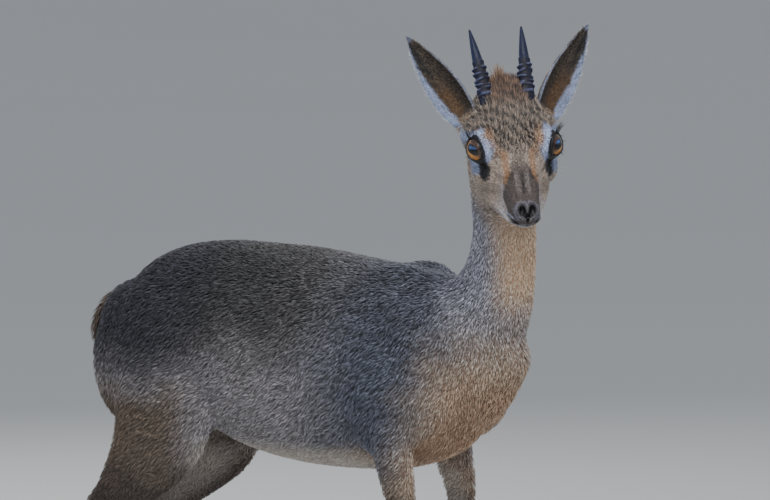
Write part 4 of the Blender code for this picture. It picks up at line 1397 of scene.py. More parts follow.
# The long pale hairs behind the crest.
WISP = (-0.0470, -0.0030, 0.0080)
WISP_RADII = (0.0095, 0.0030, 0.0110)
roots, outs = skin_samples(skin, draw, crest_ground)
place = on_head(roots)
count = len(roots)
back_share = step(CREST_FROM, CREST_TO, place[:, 0])
growth = np.column_stack((-0.98 + 0.28 * back_share, place[:, 1] * 20, 0.42 + 0.46 * back_share))
growth += draw.normal(0, 0.11, (count, 3))
growth = growth / np.linalg.norm(growth, axis=1)[:, None] @ HEAD[:3, :3].T
wisp = near(place, WISP, WISP_RADII)
reach = 0.0068 + 0.0014 * back_share + 0.0080 * wisp * draw.uniform(0.4, 1.0, count)
sizes = np.column_stack((reach, np.full(count, 0.00056), np.full(count, -0.0026), np.ones(count)))
ring_roots, ring_outs, ring_growth = collar_roots(skin, draw)
ring_sizes = np.tile((0.0052, 0.00062, -0.0006, 1.0), (len(ring_roots), 1))
roots = np.vstack((roots, ring_roots))
outs = np.vstack((outs, ring_outs))
lies = np.vstack((growth, ring_growth + ring_outs * 0.15))
sizes = np.vstack((sizes, ring_sizes))
lies /= np.linalg.norm(lies, axis=1)[:, None]
outs = outs - lies * (outs * lies).sum(1)[:, None]
outs /= np.linalg.norm(outs, axis=1)[:, None]
dark, pale = coat_colours(roots)
share = near(on_head(roots), WISP, WISP_RADII)[:, None]
dark = dark * (1 - share) + COAT_COLOURS["wisp"][0] * share
pale = pale * (1 - share) + COAT_COLOURS["wisp"][1] * share
where = unwrapped(roots, "head")
coats.append(("head", tuft_mesh("coat_crest", roots, outs, lies, sizes, dark, pale, where, draw, upright=True)))
told(f"coat: {len(coats)} pieces, {sum(len(made.data.polygons) for _, made in coats)} triangles")

# %% [markdown]
# ## Skin and coat materials
# Both read the stored colours. The skin adds fine streaks and a bump for the shortest fur, and is
# glossier where it is bare. The coat has a soft sheen, as hair has.

# %% Materials of skin and coat
def new_material(name):
    """An empty node material with its shader and its links."""
    made = bpy.data.materials.new(name)
    made.use_nodes = True
    return made, made.node_tree.nodes, made.node_tree.links, made.node_tree.nodes["Principled BSDF"]


def attribute(nodes, name):
    """A node that reads a stored attribute."""
    read = nodes.new("ShaderNodeAttribute")
    read.attribute_name = name
    return read


def mix(nodes, links, kind, factor, one, two):
    """A mix of two colours; each input is a socket, a number or a colour."""
    made = nodes.new("ShaderNodeMix")
    made.data_type = "RGBA"
    made.blend_type = kind
    for socket, value in ((0, factor), (6, one), (7, two)):
        if isinstance(value, (int, float, tuple)):
            made.inputs[socket].default_value = value
        else:
            links.new(value, made.inputs[socket])
    return made.outputs[2]


def noise(nodes, links, scale, detail=4.0, stretch=None):
    """Noise on the piece's own coordinates."""
    where = nodes.new("ShaderNodeTexCoord").outputs["Object"]
    if stretch:
        turned = nodes.new("ShaderNodeMapping")
        turned.inputs["Scale"].default_value = stretch
        links.new(where, turned.inputs["Vector"])
        where = turned.outputs["Vector"]
    made = nodes.new("ShaderNodeTexNoise")
    made.inputs["Scale"].default_value = scale
    made.inputs["Detail"].default_value = detail
    links.new(where, made.inputs["Vector"])
    return made.outputs["Fac"]


def levels(nodes, links, value, low, high, to_low=0.0, to_high=1.0):
    """The value spread from one range to another, and held there."""
    made = nodes.new("ShaderNodeMapRange")
    made.interpolation_type = "SMOOTHSTEP"
    for socket, number in zip(("From Min", "From Max", "To Min", "To Max"), (low, high, to_low, to_high)):
        made.inputs[socket].default_value = number
    links.new(value, made.inputs["Value"])
    return made.outputs["Result"]


def bump(nodes, links, shader, height, strength, distance):
    """A bump from a height on the shader's normal."""
    made = nodes.new("ShaderNodeBump")
    made.inputs["Strength"].default_value = strength
    made.inputs["Distance"].default_value = distance
    links.new(height, made.inputs["Height"])
    links.new(made.outputs["Normal"], shader.inputs["Normal"])


def skin_material():
    """Short fur in streaks of the two stored colours, and black wet-looking bare skin, painted near black in the
    nostrils as shade.
    """
    made, nodes, links, shader = new_material("skin_fur")
    streak = noise(nodes, links, 900.0, 3.0)
    share = levels(nodes, links, streak, 0.42, 0.66, 0.0, 0.75)
    fur = mix(nodes, links, "MIX", share, attribute(nodes, "dark").outputs["Color"], attribute(nodes, "pale").outputs["Color"])
    worn = attribute(nodes, "bare").outputs["Fac"]
    pores = noise(nodes, links, 1500.0, 2.0)
    leather = mix(nodes, links, "MIX", pores, (0.004, 0.004, 0.005, 1), (0.016, 0.015, 0.018, 1))
    # Painted shade: inside the nostrils and in the crease below them the leather turns near black.
    pit = attribute(nodes, "pit").outputs["Fac"]
    leather = mix(nodes, links, "MIX", pit, leather, (0.0012, 0.0010, 0.0012, 1))
    colour = mix(nodes, links, "MIX", worn, fur, leather)
    links.new(colour, shader.inputs["Base Color"])
    links.new(levels(nodes, links, worn, 0.0, 1.0, 0.78, 0.42), shader.inputs["Roughness"])
    links.new(levels(nodes, links, pit, 0.0, 1.0, 0.35, 0.06), shader.inputs["Specular IOR Level"])
    bump(nodes, links, shader, pores, 0.35, 0.0004)
    return made


def coat_material():
    """Hair in its stored colour, with fine changes along it and a soft sheen."""
    made, nodes, links, shader = new_material("coat_hair")
    fine = noise(nodes, links, 2600.0, 2.0)
    shade = levels(nodes, links, fine, 0.3, 0.7, 0.82, 1.12)
    grey = nodes.new("ShaderNodeCombineColor")
    for socket in range(3):
        links.new(shade, grey.inputs[socket])
    colour = mix(nodes, links, "MULTIPLY", 1.0, attribute(nodes, "coat").outputs["Color"], grey.outputs["Color"])
    links.new(colour, shader.inputs["Base Color"])
    links.new(levels(nodes, links, fine, 0.3, 0.7, 0.50, 0.72), shader.inputs["Roughness"])
    shader.inputs["Specular IOR Level"].default_value = 0.35
    shader.inputs["Sheen Weight"].default_value = 0.12
    shader.inputs["Sheen Roughness"].default_value = 0.4
    return made


skin.data.materials.clear()
skin.data.materials.append(skin_material())
skin.data.polygons.foreach_set("use_smooth", np.ones(len(skin.data.polygons), bool))
coat_hair = coat_material()
for _, made in coats:
    made.data.materials.append(coat_hair)
print("materials:", [made.name for made in bpy.data.materials if made.name in ("skin_fur", "coat_hair")])

# %% [markdown]
# ## Eyes
# An eyeball is a ball with a smaller, clear ball set into its front. Here both are one surface: a
# fine sphere whose pole looks out, raised a little over the iris. A map of its own, measured from
# the pole, carries the dark iris with painted shade over its upper part, the wide pupil and the dark
# white of the eye.

# %% The eyeballs
IRIS_ANGLE = math.radians(42)
CORNEA_RISE = 0.0009
# The pupil lies level while the lids slant. Its half length and height are shares of the iris.
PUPIL_HALF_SIZES = (0.70, 0.34, 1)


def eyeball(name, sign):
    """One eyeball with a raised front, and its own map round the pole."""
    middle, look, slant, rise = eye_axes(sign)
    place = head_place()
    turns, rings = 48, 32
    form = bmesh.new()
    layer = form.loops.layers.uv.new("iris")
    rows = []
    for ring in range(1, rings):
        angle = math.pi * ring / rings
        bulge = CORNEA_RISE * max(0.0, 1 - (angle / (IRIS_ANGLE * 1.15)) ** 2) ** 1.5
        row = []
        for number in range(turns):
            turn = 2 * math.pi * number / turns
            aside = slant * math.cos(turn) + rise * math.sin(turn)
            point = middle + (look * math.cos(angle) + aside * math.sin(angle)) * (EYE_RADIUS + bulge)
            row.append((form.verts.new(place @ point), angle, turn))
        rows.append(row)
    front = form.verts.new(place @ (middle + look * (EYE_RADIUS + CORNEA_RISE)))
    rear = form.verts.new(place @ (middle - look * EYE_RADIUS))

    def flat(angle, turn):
        reach = angle / IRIS_ANGLE
        return 0.5 + reach * math.cos(turn) * 0.1, 0.5 + reach * math.sin(turn) * 0.1

    def face(corners):
        made = form.faces.new([vertex for vertex, _, _ in corners])
        for loop, (_, angle, turn) in zip(made.loops, corners):
            loop[layer].uv = flat(angle, turn)

    for low, high in zip(rows, rows[1:]):
        for number in range(turns):
            after = (number + 1) % turns
            face((low[number], high[number], high[after], low[after]))
    for number in range(turns):
        after = (number + 1) % turns
        face(((front, 0, 0), rows[0][number], rows[0][after]))
        face(((rear, math.pi, rows[-1][number][2]), rows[-1][after], rows[-1][number]))
    return mesh_object(name, form)


def eye_material():
    """A brown iris with fine rays, painted darker towards the top as shade under the upper lid, a wide pupil, and a
    clear wet coat over everything.
    """
    made, nodes, links, shader = new_material("eye_wet")
    where = nodes.new("ShaderNodeUVMap")
    where.uv_map = "iris"
    moved = nodes.new("ShaderNodeMapping")
    moved.inputs["Location"].default_value = (-5.0, -5.0, 0)
    moved.inputs["Scale"].default_value = (10, 10, 1)
    links.new(where.outputs["UV"], moved.inputs["Vector"])
    place = moved.outputs["Vector"]
    length = nodes.new("ShaderNodeVectorMath")
    length.operation = "LENGTH"
    links.new(place, length.inputs[0])
    squeezed = nodes.new("ShaderNodeMapping")
    squeezed.vector_type = "TEXTURE"
    squeezed.inputs["Rotation"].default_value = (0, 0, LID_TILT)
    squeezed.inputs["Scale"].default_value = PUPIL_HALF_SIZES
    links.new(place, squeezed.inputs["Vector"])
    slit = nodes.new("ShaderNodeVectorMath")
    slit.operation = "LENGTH"
    links.new(squeezed.outputs["Vector"], slit.inputs[0])
    rays = nodes.new("ShaderNodeTexNoise")
    rays.inputs["Scale"].default_value = 7.0
    rays.inputs["Detail"].default_value = 5.0
    links.new(place, rays.inputs["Vector"])
    rays_share = levels(nodes, links, rays.outputs["Fac"], 0.35, 0.65)
    warm = mix(nodes, links, "MIX", rays_share, (0.210, 0.066, 0.008, 1), (0.540, 0.230, 0.034, 1))
    # Painted shade: the iris turns to this darker colour towards the top, as under the upper lid and lashes.
    lid_shaded_iris = mix(nodes, links, "MIX", rays_share, (0.012, 0.007, 0.007, 1), (0.055, 0.027, 0.016, 1))
    apart = nodes.new("ShaderNodeSeparateXYZ")
    links.new(place, apart.inputs["Vector"])
    shaded = levels(nodes, links, apart.outputs["Y"], -0.50, 0.30)
    iris = mix(nodes, links, "MIX", shaded, warm, lid_shaded_iris)
    rim = levels(nodes, links, length.outputs["Value"], 0.86, 1.0)
    iris = mix(nodes, links, "MIX", rim, iris, (0.020, 0.009, 0.004, 1))
    pupil = levels(nodes, links, slit.outputs["Value"], 1.02, 0.88)
    iris = mix(nodes, links, "MIX", pupil, iris, (0.002, 0.002, 0.003, 1))
    white = levels(nodes, links, length.outputs["Value"], 1.02, 1.10)
    colour = mix(nodes, links, "MIX", white, iris, (0.030, 0.020, 0.018, 1))
    links.new(colour, shader.inputs["Base Color"])
    shader.inputs["Roughness"].default_value = 0.35
    shader.inputs["Specular IOR Level"].default_value = 0.05
    shader.inputs["Coat Weight"].default_value = 1.0
    shader.inputs["Coat IOR"].default_value = 1.5
    shader.inputs["Coat Roughness"].default_value = 0.02
    return made


eye_wet = eye_material()
eyes = {}
for side, sign in SIDES.items():
    eyes[side] = eyeball(f"eyeball_{side}", sign)
    eyes[side].data.materials.append(eye_wet)
    eyes[side].data.polygons.foreach_set("use_smooth", np.ones(len(eyes[side].data.polygons), bool))
told("eyes")

# %% [markdown]
# ## Horns
# Only males have horns: short spikes that lean back in line with the face. New horn pushes out at
# the root in steps, which leaves rough rings on the lower part. The rings come closer together
# towards the root, where a plain sine wave would look turned on a lathe, so each ring has its own
# height and its own tilt.

# %% The horns
HORN_LENGTH = 0.0550
HORN_TIP_RADIUS = 0.0007
HORN_CURVE = math.radians(14)
HORN_SUNK = 0.006
# Where along the horn each ring stands, and how far it stands out.
HORN_RINGS = (
    (0.020, 0.0005),
    (0.058, 0.0008),
    (0.109, 0.0008),
    (0.159, 0.0010),
    (0.218, 0.0010),
    (0.285, 0.0011),
    (0.361, 0.0011),
    (0.444, 0.0011),
    (0.530, 0.0005),
)
HORN_RING_WIDTH = 0.020
HORN_TAPER = 2.15
HORN_CORE = 0.0047


def horn(name, sign):
    """A ringed horn with a smooth tip, curving back a little."""
    place = head_place()
    root_lean = level_to_head(Vector((-math.sin(HORN_LEAN), 0, math.cos(HORN_LEAN))))
    middle = mirrored(HORN_ROOT, sign)
    count, sides = 130, 28
    draw = np.random.default_rng(20 + sign)
    tilts = draw.uniform(-1, 1, (len(HORN_RINGS), 2)) * 0.020
    form = bmesh.new()
    rings, ridges = [], []
    for number in range(count + 1):
        share = number / count
        lean = HORN_LEAN + HORN_CURVE * share
        level = Vector((-math.sin(lean), math.sin(HORN_SPREAD[sign]) * sign, math.cos(lean)))
        ahead = level_to_head(level)
        side = (Vector((0, 1, 0)) - ahead * ahead.y).normalized()
        other = ahead.cross(side)
        radius = HORN_CORE + (HORN_TIP_RADIUS - HORN_CORE) * share**HORN_TAPER
        ring = []
        for step_round in range(sides):
            turn = 2 * math.pi * step_round / sides
            out = 0.0
            for (stands, rise), tilt in zip(HORN_RINGS, tilts):
                away = share - stands - tilt[0] * math.cos(turn) - tilt[1] * math.sin(turn)
                steep = HORN_RING_WIDTH * (0.55 if away > 0 else 1.25)
                uneven = 1 + 0.30 * math.sin(2 * turn + stands * 90) + 0.25 * math.sin(5 * turn + stands * 170)
                out += rise * math.exp(-((away / steep) ** 2)) * uneven
            reach = radius + out
            ridges.append(out / 0.0011)
            point = middle + side * reach * math.cos(turn) + other * reach * math.sin(turn)
            ring.append(place @ point)
        rings.append(ring)
        middle = middle + ahead * HORN_LENGTH / count
    sunk = place.to_3x3() @ root_lean * -HORN_SUNK
    rings[0] = [point + sunk for point in rings[0]]
    add_rings(form, rings)
    made = mesh_object(name, form)
    along = np.repeat(np.arange(count + 1) / count, sides).astype(np.float32)
    kept = made.data.attributes.new("along", "FLOAT", "POINT")
    kept.data.foreach_set("value", along)
    kept = made.data.attributes.new("ridge", "FLOAT", "POINT")
    kept.data.foreach_set("value", np.array(ridges, np.float32))
    return made


def horn_material():
    """Blue-black horn, brown and dull between the rings, with paler blue-grey ring crests that are partly wear and
    partly painted highlight, smooth and glossy at the tip.
    """
    made, nodes, links, shader = new_material("horn_sheath")
    along = attribute(nodes, "along").outputs["Fac"]
    fine = noise(nodes, links, 700.0, 5.0)
    streaks = noise(nodes, links, 420.0, 5.0)
    grey = mix(nodes, links, "MIX", streaks, (0.002, 0.003, 0.010, 1), (0.013, 0.017, 0.040, 1))
    brown = mix(nodes, links, "MIX", fine, (0.001, 0.002, 0.005, 1), (0.014, 0.012, 0.019, 1))
    root = levels(nodes, links, along, 0.58, 0.46)
    colour = mix(nodes, links, "MIX", root, grey, brown)
    # The rings' crests turn a paler blue-grey: partly wear, partly painted highlight where the raised rings catch the
    # light.
    worn = levels(nodes, links, attribute(nodes, "ridge").outputs["Fac"], 0.50, 1.05)
    edge = mix(nodes, links, "MIX", fine, (0.008, 0.012, 0.030, 1), (0.085, 0.090, 0.150, 1))
    links.new(mix(nodes, links, "MIX", worn, colour, edge), shader.inputs["Base Color"])
    links.new(levels(nodes, links, root, 0.0, 1.0, 0.34, 0.60), shader.inputs["Roughness"])
    shader.inputs["Specular IOR Level"].default_value = 0.22
    bump(nodes, links, shader, noise(nodes, links, 1800.0, 3.0), 0.3, 0.0003)
    return made


horn_sheath = horn_material()
horns = {}
for side, sign in SIDES.items():
    horns[side] = horn(f"horn_{side}_ringed", sign)
    horns[side].data.materials.append(horn_sheath)
    horns[side].data.polygons.foreach_set("use_smooth", np.ones(len(horns[side].data.polygons), bool))
told("horns")

# %% [markdown]
# ## Lids' rims, lashes, whiskers and the ears' fringe
# Bare black skin rolls over the edge of each lid, and single stiff hairs stand out of the coat. The
# rim is a round profile that follows the almond. The hairs are one slim bent cone, repeated: a
# Geometry Nodes tree puts it on points that carry their own direction and length.

# %% Trees for rims and bristles
def node_input(tree, name, kind, value=None):
    """A named input of a node tree."""
    made = tree.interface.new_socket(name=name, in_out="INPUT", socket_type=kind)
    if value is not None:
        made.default_value = value
    return made


def rim_tree(material):
    """A tree that sweeps a round profile along a closed line."""
    tree = bpy.data.node_groups.new("lid_rim", "GeometryNodeTree")
    tree.interface.new_socket(name="Geometry", in_out="OUTPUT", socket_type="NodeSocketGeometry")
    node_input(tree, "Geometry", "NodeSocketGeometry")
    node_input(tree, "Thickness", "NodeSocketFloat", 0.001)
    nodes, links = tree.nodes, tree.links
    source, target = nodes.new("NodeGroupInput"), nodes.new("NodeGroupOutput")
    curve = nodes.new("GeometryNodeMeshToCurve")
    profile = nodes.new("GeometryNodeCurvePrimitiveCircle")
    profile.inputs["Resolution"].default_value = 10
    sweep = nodes.new("GeometryNodeCurveToMesh")
    finish = nodes.new("GeometryNodeSetMaterial")
    finish.inputs["Material"].default_value = material
    links.new(source.outputs["Geometry"], curve.inputs["Mesh"])
    links.new(source.outputs["Thickness"], profile.inputs["Radius"])
    links.new(curve.outputs["Curve"], sweep.inputs["Curve"])
    links.new(profile.outputs["Curve"], sweep.inputs["Profile Curve"])
    links.new(sweep.outputs["Mesh"], finish.inputs["Geometry"])
    links.new(finish.outputs["Geometry"], target.inputs["Geometry"])
    return tree


def bristle_tree(material):
    """A tree that stands a bent cone on each point, along the point's own direction."""
    tree = bpy.data.node_groups.new("bristles", "GeometryNodeTree")
    tree.interface.new_socket(name="Geometry", in_out="OUTPUT", socket_type="NodeSocketGeometry")
    node_input(tree, "Geometry", "NodeSocketGeometry")
    node_input(tree, "Thickness", "NodeSocketFloat", 0.0002)
    node_input(tree, "Bend", "NodeSocketFloat", 0.001)
    nodes, links = tree.nodes, tree.links
    source, target = nodes.new("NodeGroupInput"), nodes.new("NodeGroupOutput")
    cone = nodes.new("GeometryNodeMeshCone")
    cone.inputs["Vertices"].default_value = 5
    cone.inputs["Side Segments"].default_value = 5
    cone.inputs["Radius Top"].default_value = 0.00003
    cone.inputs["Depth"].default_value = 1.0
    place = nodes.new("GeometryNodeInputPosition")
    apart = nodes.new("ShaderNodeSeparateXYZ")
    square = nodes.new("ShaderNodeMath")
    square.operation = "MULTIPLY"
    bent = nodes.new("ShaderNodeMath")
    bent.operation = "MULTIPLY"
    together = nodes.new("ShaderNodeCombineXYZ")
    moved = nodes.new("GeometryNodeSetPosition")
    aim = nodes.new("GeometryNodeInputNamedAttribute")
    aim.data_type = "FLOAT_VECTOR"
    aim.inputs["Name"].default_value = "aim"
    reach = nodes.new("GeometryNodeInputNamedAttribute")
    reach.data_type = "FLOAT"
    reach.inputs["Name"].default_value = "reach"
    turned = nodes.new("FunctionNodeAlignRotationToVector")
    turned.axis = "Z"
    size = nodes.new("ShaderNodeCombineXYZ")
    size.inputs["X"].default_value = 1.0
    size.inputs["Y"].default_value = 1.0
    stood = nodes.new("GeometryNodeInstanceOnPoints")
    real = nodes.new("GeometryNodeRealizeInstances")
    finish = nodes.new("GeometryNodeSetMaterial")
    finish.inputs["Material"].default_value = material
    links.new(source.outputs["Thickness"], cone.inputs["Radius Bottom"])
    links.new(place.outputs["Position"], apart.inputs["Vector"])
    links.new(apart.outputs["Z"], square.inputs[0])
    links.new(apart.outputs["Z"], square.inputs[1])
    links.new(square.outputs["Value"], bent.inputs[0])
    links.new(source.outputs["Bend"], bent.inputs[1])
    links.new(bent.outputs["Value"], together.inputs["X"])
    links.new(cone.outputs["Mesh"], moved.inputs["Geometry"])
    links.new(together.outputs["Vector"], moved.inputs["Offset"])
    links.new(aim.outputs["Attribute"], turned.inputs["Vector"])
    links.new(reach.outputs["Attribute"], size.inputs["Z"])
    links.new(source.outputs["Geometry"], stood.inputs["Points"])
    links.new(moved.outputs["Geometry"], stood.inputs["Instance"])
    links.new(turned.outputs["Rotation"], stood.inputs["Rotation"])
    links.new(size.outputs["Vector"], stood.inputs["Scale"])
    links.new(stood.outputs["Instances"], real.inputs["Geometry"])
    links.new(real.outputs["Geometry"], finish.inputs["Geometry"])
    links.new(finish.outputs["Geometry"], target.inputs["Geometry"])
    return tree


def grown(made, tree, values):
    """The plain mesh that a tree makes of an object, with the named inputs set."""
    name = made.name
    change = made.modifiers.new("tree", "NODES")
    change.node_group = tree
    for socket in tree.interface.items_tree:
        if socket.name in values and socket.in_out == "INPUT":
            change[socket.identifier] = values[socket.name]
    return evaluated(made, name)


def bristles(name, starts, aims, reaches, thickness, bend, material):
    """Single hairs as one object: where each starts, where it points and how long it is."""
    mesh = bpy.data.meshes.new(name)
    mesh.from_pydata([tuple(start) for start in starts], [], [])
    kept = mesh.attributes.new("aim", "FLOAT_VECTOR", "POINT")
    kept.data.foreach_set("vector", np.array(aims, np.float32).ravel())
    kept = mesh.attributes.new("reach", "FLOAT", "POINT")
    kept.data.foreach_set("value", np.array(reaches, np.float32))
    made = bpy.data.objects.new(name, mesh)
    bpy.context.collection.objects.link(made)
    return grown(made, bristle_tree(material), {"Thickness": thickness, "Bend": bend})


def hair_material(name, root, tip, rough):
    """Hair in streaks of two colours."""
    made, nodes, links, shader = new_material(name)
    streak = noise(nodes, links, 1200.0, 2.0)
    links.new(mix(nodes, links, "MIX", streak, root, tip), shader.inputs["Base Color"])
    links.new(levels(nodes, links, streak, 0.3, 0.7, rough, rough + 0.15), shader.inputs["Roughness"])
    return made


# %% Rims and lashes
RIM_THICKNESS = 0.00060
RIM_OUT = 0.0006
bare_black = hair_material("bare_black", (0.003, 0.003, 0.004, 1), (0.014, 0.012, 0.015, 1), 0.30)
lash_black = hair_material("lash_black", (0.003, 0.003, 0.004, 1), (0.012, 0.010, 0.012, 1), 0.40)
whisker_pale = hair_material("whisker_pale", (0.30, 0.27, 0.24, 1), (0.55, 0.52, 0.50, 1), 0.40)
fringe_white = hair_material("fringe_white", (0.52, 0.53, 0.60, 1), (0.80, 0.82, 0.90, 1), 0.50)


def on_ball(sign, offset, out):
    """A place on the eyeball's surface, or a little out of it, in front of an offset."""
    middle, look, _, _ = eye_axes(sign)
    radius = EYE_RADIUS + out
    return middle + offset + look * math.sqrt(max(radius**2 - offset.length_squared, 0))


def lid_rim(name, sign):
    """The rolled edge of the lids."""
    place = head_place()
    outline = [place @ on_ball(sign, offset, RIM_OUT) for offset in lid_outline(sign, 64)]
    mesh = bpy.data.meshes.new(name)
    mesh.from_pydata([tuple(point) for point in outline], [(n, (n + 1) % 64) for n in range(64)], [])
    made = bpy.data.objects.new(name, mesh)
    bpy.context.collection.objects.link(made)
    return grown(made, rim_tree(bare_black), {"Thickness": RIM_THICKNESS})


def lashes(name, sign, draw):
    """Lashes: long over the back half of the upper lid, short elsewhere."""
    place = head_place()
    turn_out = place.to_3x3()
    outline = lid_outline(sign, 360)
    _, look, slant, rise = eye_axes(sign)
    starts, aims, reaches = [], [], []
    for number in range(64):
        degree = draw.uniform(25, 188) if number < 50 else draw.uniform(200, 330)
        offset = outline[int(degree) % 360]
        start = on_ball(sign, offset, RIM_OUT + 0.0005)
        upper = number < 50
        aim = offset.normalized() * 0.75 + look * (0.55 if upper else 0.7) - slant * (0.55 if upper else 0.1)
        aim = aim + rise * (0.20 if upper else -0.1) + Vector(draw.normal(0, 0.10, 3))
        long = 0.0048 + 0.0034 * max(0.0, math.sin(math.radians(degree - 60))) if upper else 0.0022
        starts.append(place @ start)
        aims.append(turn_out @ aim.normalized())
        reaches.append(long * draw.uniform(0.75, 1.1))
    return bristles(name, starts, aims, reaches, 0.00014, 0.0016, lash_black)


draw = np.random.default_rng(31)
trims = []
for side, sign in SIDES.items():
    trims.append(("head_coat", lid_rim(f"lid_rim_{side}", sign)))
    trims.append(("head_coat", lashes(f"lashes_{side}", sign, draw)))
told("rims and lashes")

# %% Whiskers and fringes
WHISKER_SPOTS = (
    (0.052, 0.0105, -0.0150),
    (0.049, 0.0115, -0.0165),
    (0.055, 0.0090, -0.0130),
    (0.046, 0.0118, -0.0185),
    (0.050, 0.0070, -0.0215),
    (0.044, 0.0085, -0.0235),
    (0.055, 0.0040, -0.0185),
    (0.004, 0.0300, -0.0120),
    (0.008, 0.0285, -0.0125),
    (0.000, 0.0300, -0.0125),
    (0.012, 0.0265, -0.0120),
)


def whiskers(name, made, draw):
    """Thin pale hairs from the lips, the chin and below the eyes."""
    tree = BVHTree.FromObject(made, bpy.context.evaluated_depsgraph_get())
    place = head_place()
    starts, aims, reaches = [], [], []
    for sign in SIDES.values():
        for spot in WHISKER_SPOTS:
            for _ in range(2):
                point = mirrored(spot, sign) + Vector(draw.normal(0, 0.0012, 3))
                hit, out, _, _ = tree.find_nearest(place @ point)
                back = place.to_3x3() @ Vector((-0.25, 0.1 * sign, -0.35))
                starts.append(hit - out * 0.0004)
                aims.append((out + back + Vector(draw.normal(0, 0.12, 3))).normalized())
                reaches.append(draw.uniform(0.006, 0.011))
    return bristles(name, starts, aims, reaches, 0.00009, 0.0022, whisker_pale)


def ear_fringe(name, sign, draw):
    """White hairs that stand out along the ear's outer edge."""
    root, axis, opening, outer = ear_axes(sign)
    place = head_place()
    turn_out = place.to_3x3()
    starts, aims, reaches = [], [], []
    for _ in range(230):
        share = draw.uniform(0.06, 0.86)
        half, depth = ear_widths(share)
        turn = math.radians(draw.uniform(62, 90))
        edge = outer * (half - 0.0006) * math.sin(turn) - opening * (depth - 0.0006) * math.cos(turn)
        start = root + axis * EAR_LENGTH * share + edge
        aim = outer * draw.uniform(0.35, 0.8) + axis * 1.0 + opening * draw.uniform(-0.1, 0.35)
        aim = aim + Vector(draw.normal(0, 0.10, 3))
        starts.append(place @ start)
        aims.append(turn_out @ aim.normalized())
        reaches.append(draw.uniform(0.0030, 0.0058) * (1.1 - 0.5 * share))
    return bristles(name, starts, aims, reaches, 0.00016, 0.0004, fringe_white)


trims.append(("head_coat", whiskers("whiskers", skin, draw)))
for side, sign in SIDES.items():
    trims.append(("ear_coat", ear_fringe(f"ear_fringe_{side}", sign, draw)))
for _, made in trims:
    made.data.polygons.foreach_set("use_smooth", np.ones(len(made.data.polygons), bool))
told(f"trims: {len(trims)}, {sum(len(made.data.polygons) for _, made in trims)} faces")

# %% [markdown]
# ## Hooves
# Each foot stands on two slim hooves. The solids already have their shape with a few faces, and
# here the same levels are read off a curve, so that the toe is round.

# %% The hooves
TOE_SIDE = 0.0048
TOE_HALF_WIDTH = 0.0043
TOE_AHEAD = 0.0165
TOE_BEHIND = 0.0090
CORONET_HEIGHT = 0.0125
CORONET_SLOPE = 0.45
CORONET_AHEAD = 0.0062
CORONET_BEHIND = 0.0078


def add_hoof(form, x, y, sign):
    """One toe's hoof, from its flat sole up to the sloping coronet."""
    count = 32
    levels_up = (
        (0.0, TOE_AHEAD - 0.0004, TOE_BEHIND - 0.0004, TOE_HALF_WIDTH * 0.97),
        (0.04, TOE_AHEAD, TOE_BEHIND, TOE_HALF_WIDTH),
        (0.45, TOE_AHEAD * 0.72, TOE_BEHIND * 1.02, TOE_HALF_WIDTH * 1.02),
        (1.0, CORONET_AHEAD, CORONET_BEHIND, TOE_HALF_WIDTH * 0.97),
    )
    rings = []
    for share, ahead, behind, half in cubic(levels_up, 5):
        ring = []
        for number in range(count):
            angle = 2 * math.pi * number / count
            along = math.cos(angle)
            reach = ahead if along > 0 else behind
            narrow = 1 - 0.45 * max(along, 0) ** 2
            place = Vector((x + reach * along, y + half * narrow * math.sin(angle), 0))
            place.y -= sign * max(along, 0) ** 2 * half * 0.35 * (1 - share)
            place.z = share * (CORONET_HEIGHT + CORONET_SLOPE * (place.x - x))
            ring.append(place)
        rings.append(ring)
    add_rings(form, rings)


def hoof_material():
    """Dark grey horn with fine rings of a paler brown."""
    made, nodes, links, shader = new_material("hoof_horn")
    rings = noise(nodes, links, 260.0, 3.0, (1, 1, 5))
    horny = mix(nodes, links, "MIX", rings, (0.016, 0.014, 0.014, 1), (0.075, 0.062, 0.052, 1))
    links.new(horny, shader.inputs["Base Color"])
    links.new(levels(nodes, links, rings, 0.3, 0.7, 0.42, 0.62), shader.inputs["Roughness"])
    bump(nodes, links, shader, rings, 0.35, 0.0004)
    return made


hoof_horn = hoof_material()
hooves = {}
for side, sign in SIDES.items():
    for leg, places in {"fore": FORELEG, "hind": HINDLEG}.items():
        x = places[-1][0] + STEP_AHEAD[side][leg]
        y = places[-1][1] * sign
        for toe, inward in (("inner", -1), ("outer", 1)):
            form = bmesh.new()
            add_hoof(form, x, y + sign * inward * TOE_SIDE, sign * inward)
            made = mesh_object(f"horny_hoof_{leg}_{side}_{toe}", form)
            made.data.materials.append(hoof_horn)
            hooves[f"hoof_{leg}_{side}_{toe}"] = made
told(f"hooves: {len(hooves)}")

# %% [markdown]
# ## Fitting to the frame
# Every piece is carried to the frame's origin. Each is then attached to the body it rides on, and
# the solids that it stands for are hidden.

# %% Bodies and solids
def to_frame(made):
    """Carries a mesh from the place below the withers to the frame's origin."""
    set_coordinates(made.data, coordinates(made.data) + TO_FRAME)


FLESH = (
    "torso",
    "neck",
    "head",
    "tail",
    "foreleg_left",
    "foreleg_right",
    "hindleg_left",
    "hindleg_right",
    "ear_left",
    "ear_right",
)
print(sorted(frame["nodes"]))
SLOTS = {"trunk": "back_coat", "neck": "neck_coat", "legs": "foreleg_coat", "head": "head_coat", "ears": "ear_coat"}
dressed = [(skin, "back_coat", FLESH)]
dressed += [(made, SLOTS[name], ()) for name, made in coats]
dressed += [(made, finish, ()) for finish, made in trims]
dressed += [(made, "eye", (f"eye_{side}",)) for side, made in eyes.items()]
dressed += [(made, "horn", (f"horn_{side}",)) for side, made in horns.items()]
dressed += [(made, "hoof", (name,)) for name, made in hooves.items()]
for made, finish, solids in dressed:
    to_frame(made)
    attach(made, "root")
    if solids:
        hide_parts(*solids)
print("pieces:", len(dressed))

# %% [markdown]
# ## Floor, light and camera
# The animal stands on a plain pale floor under large soft lights. The camera looks slightly down
# at its right side and front, through a long lens, as the photograph does.

# %% Floor and light
FLOOR_RADIUS = 90.0


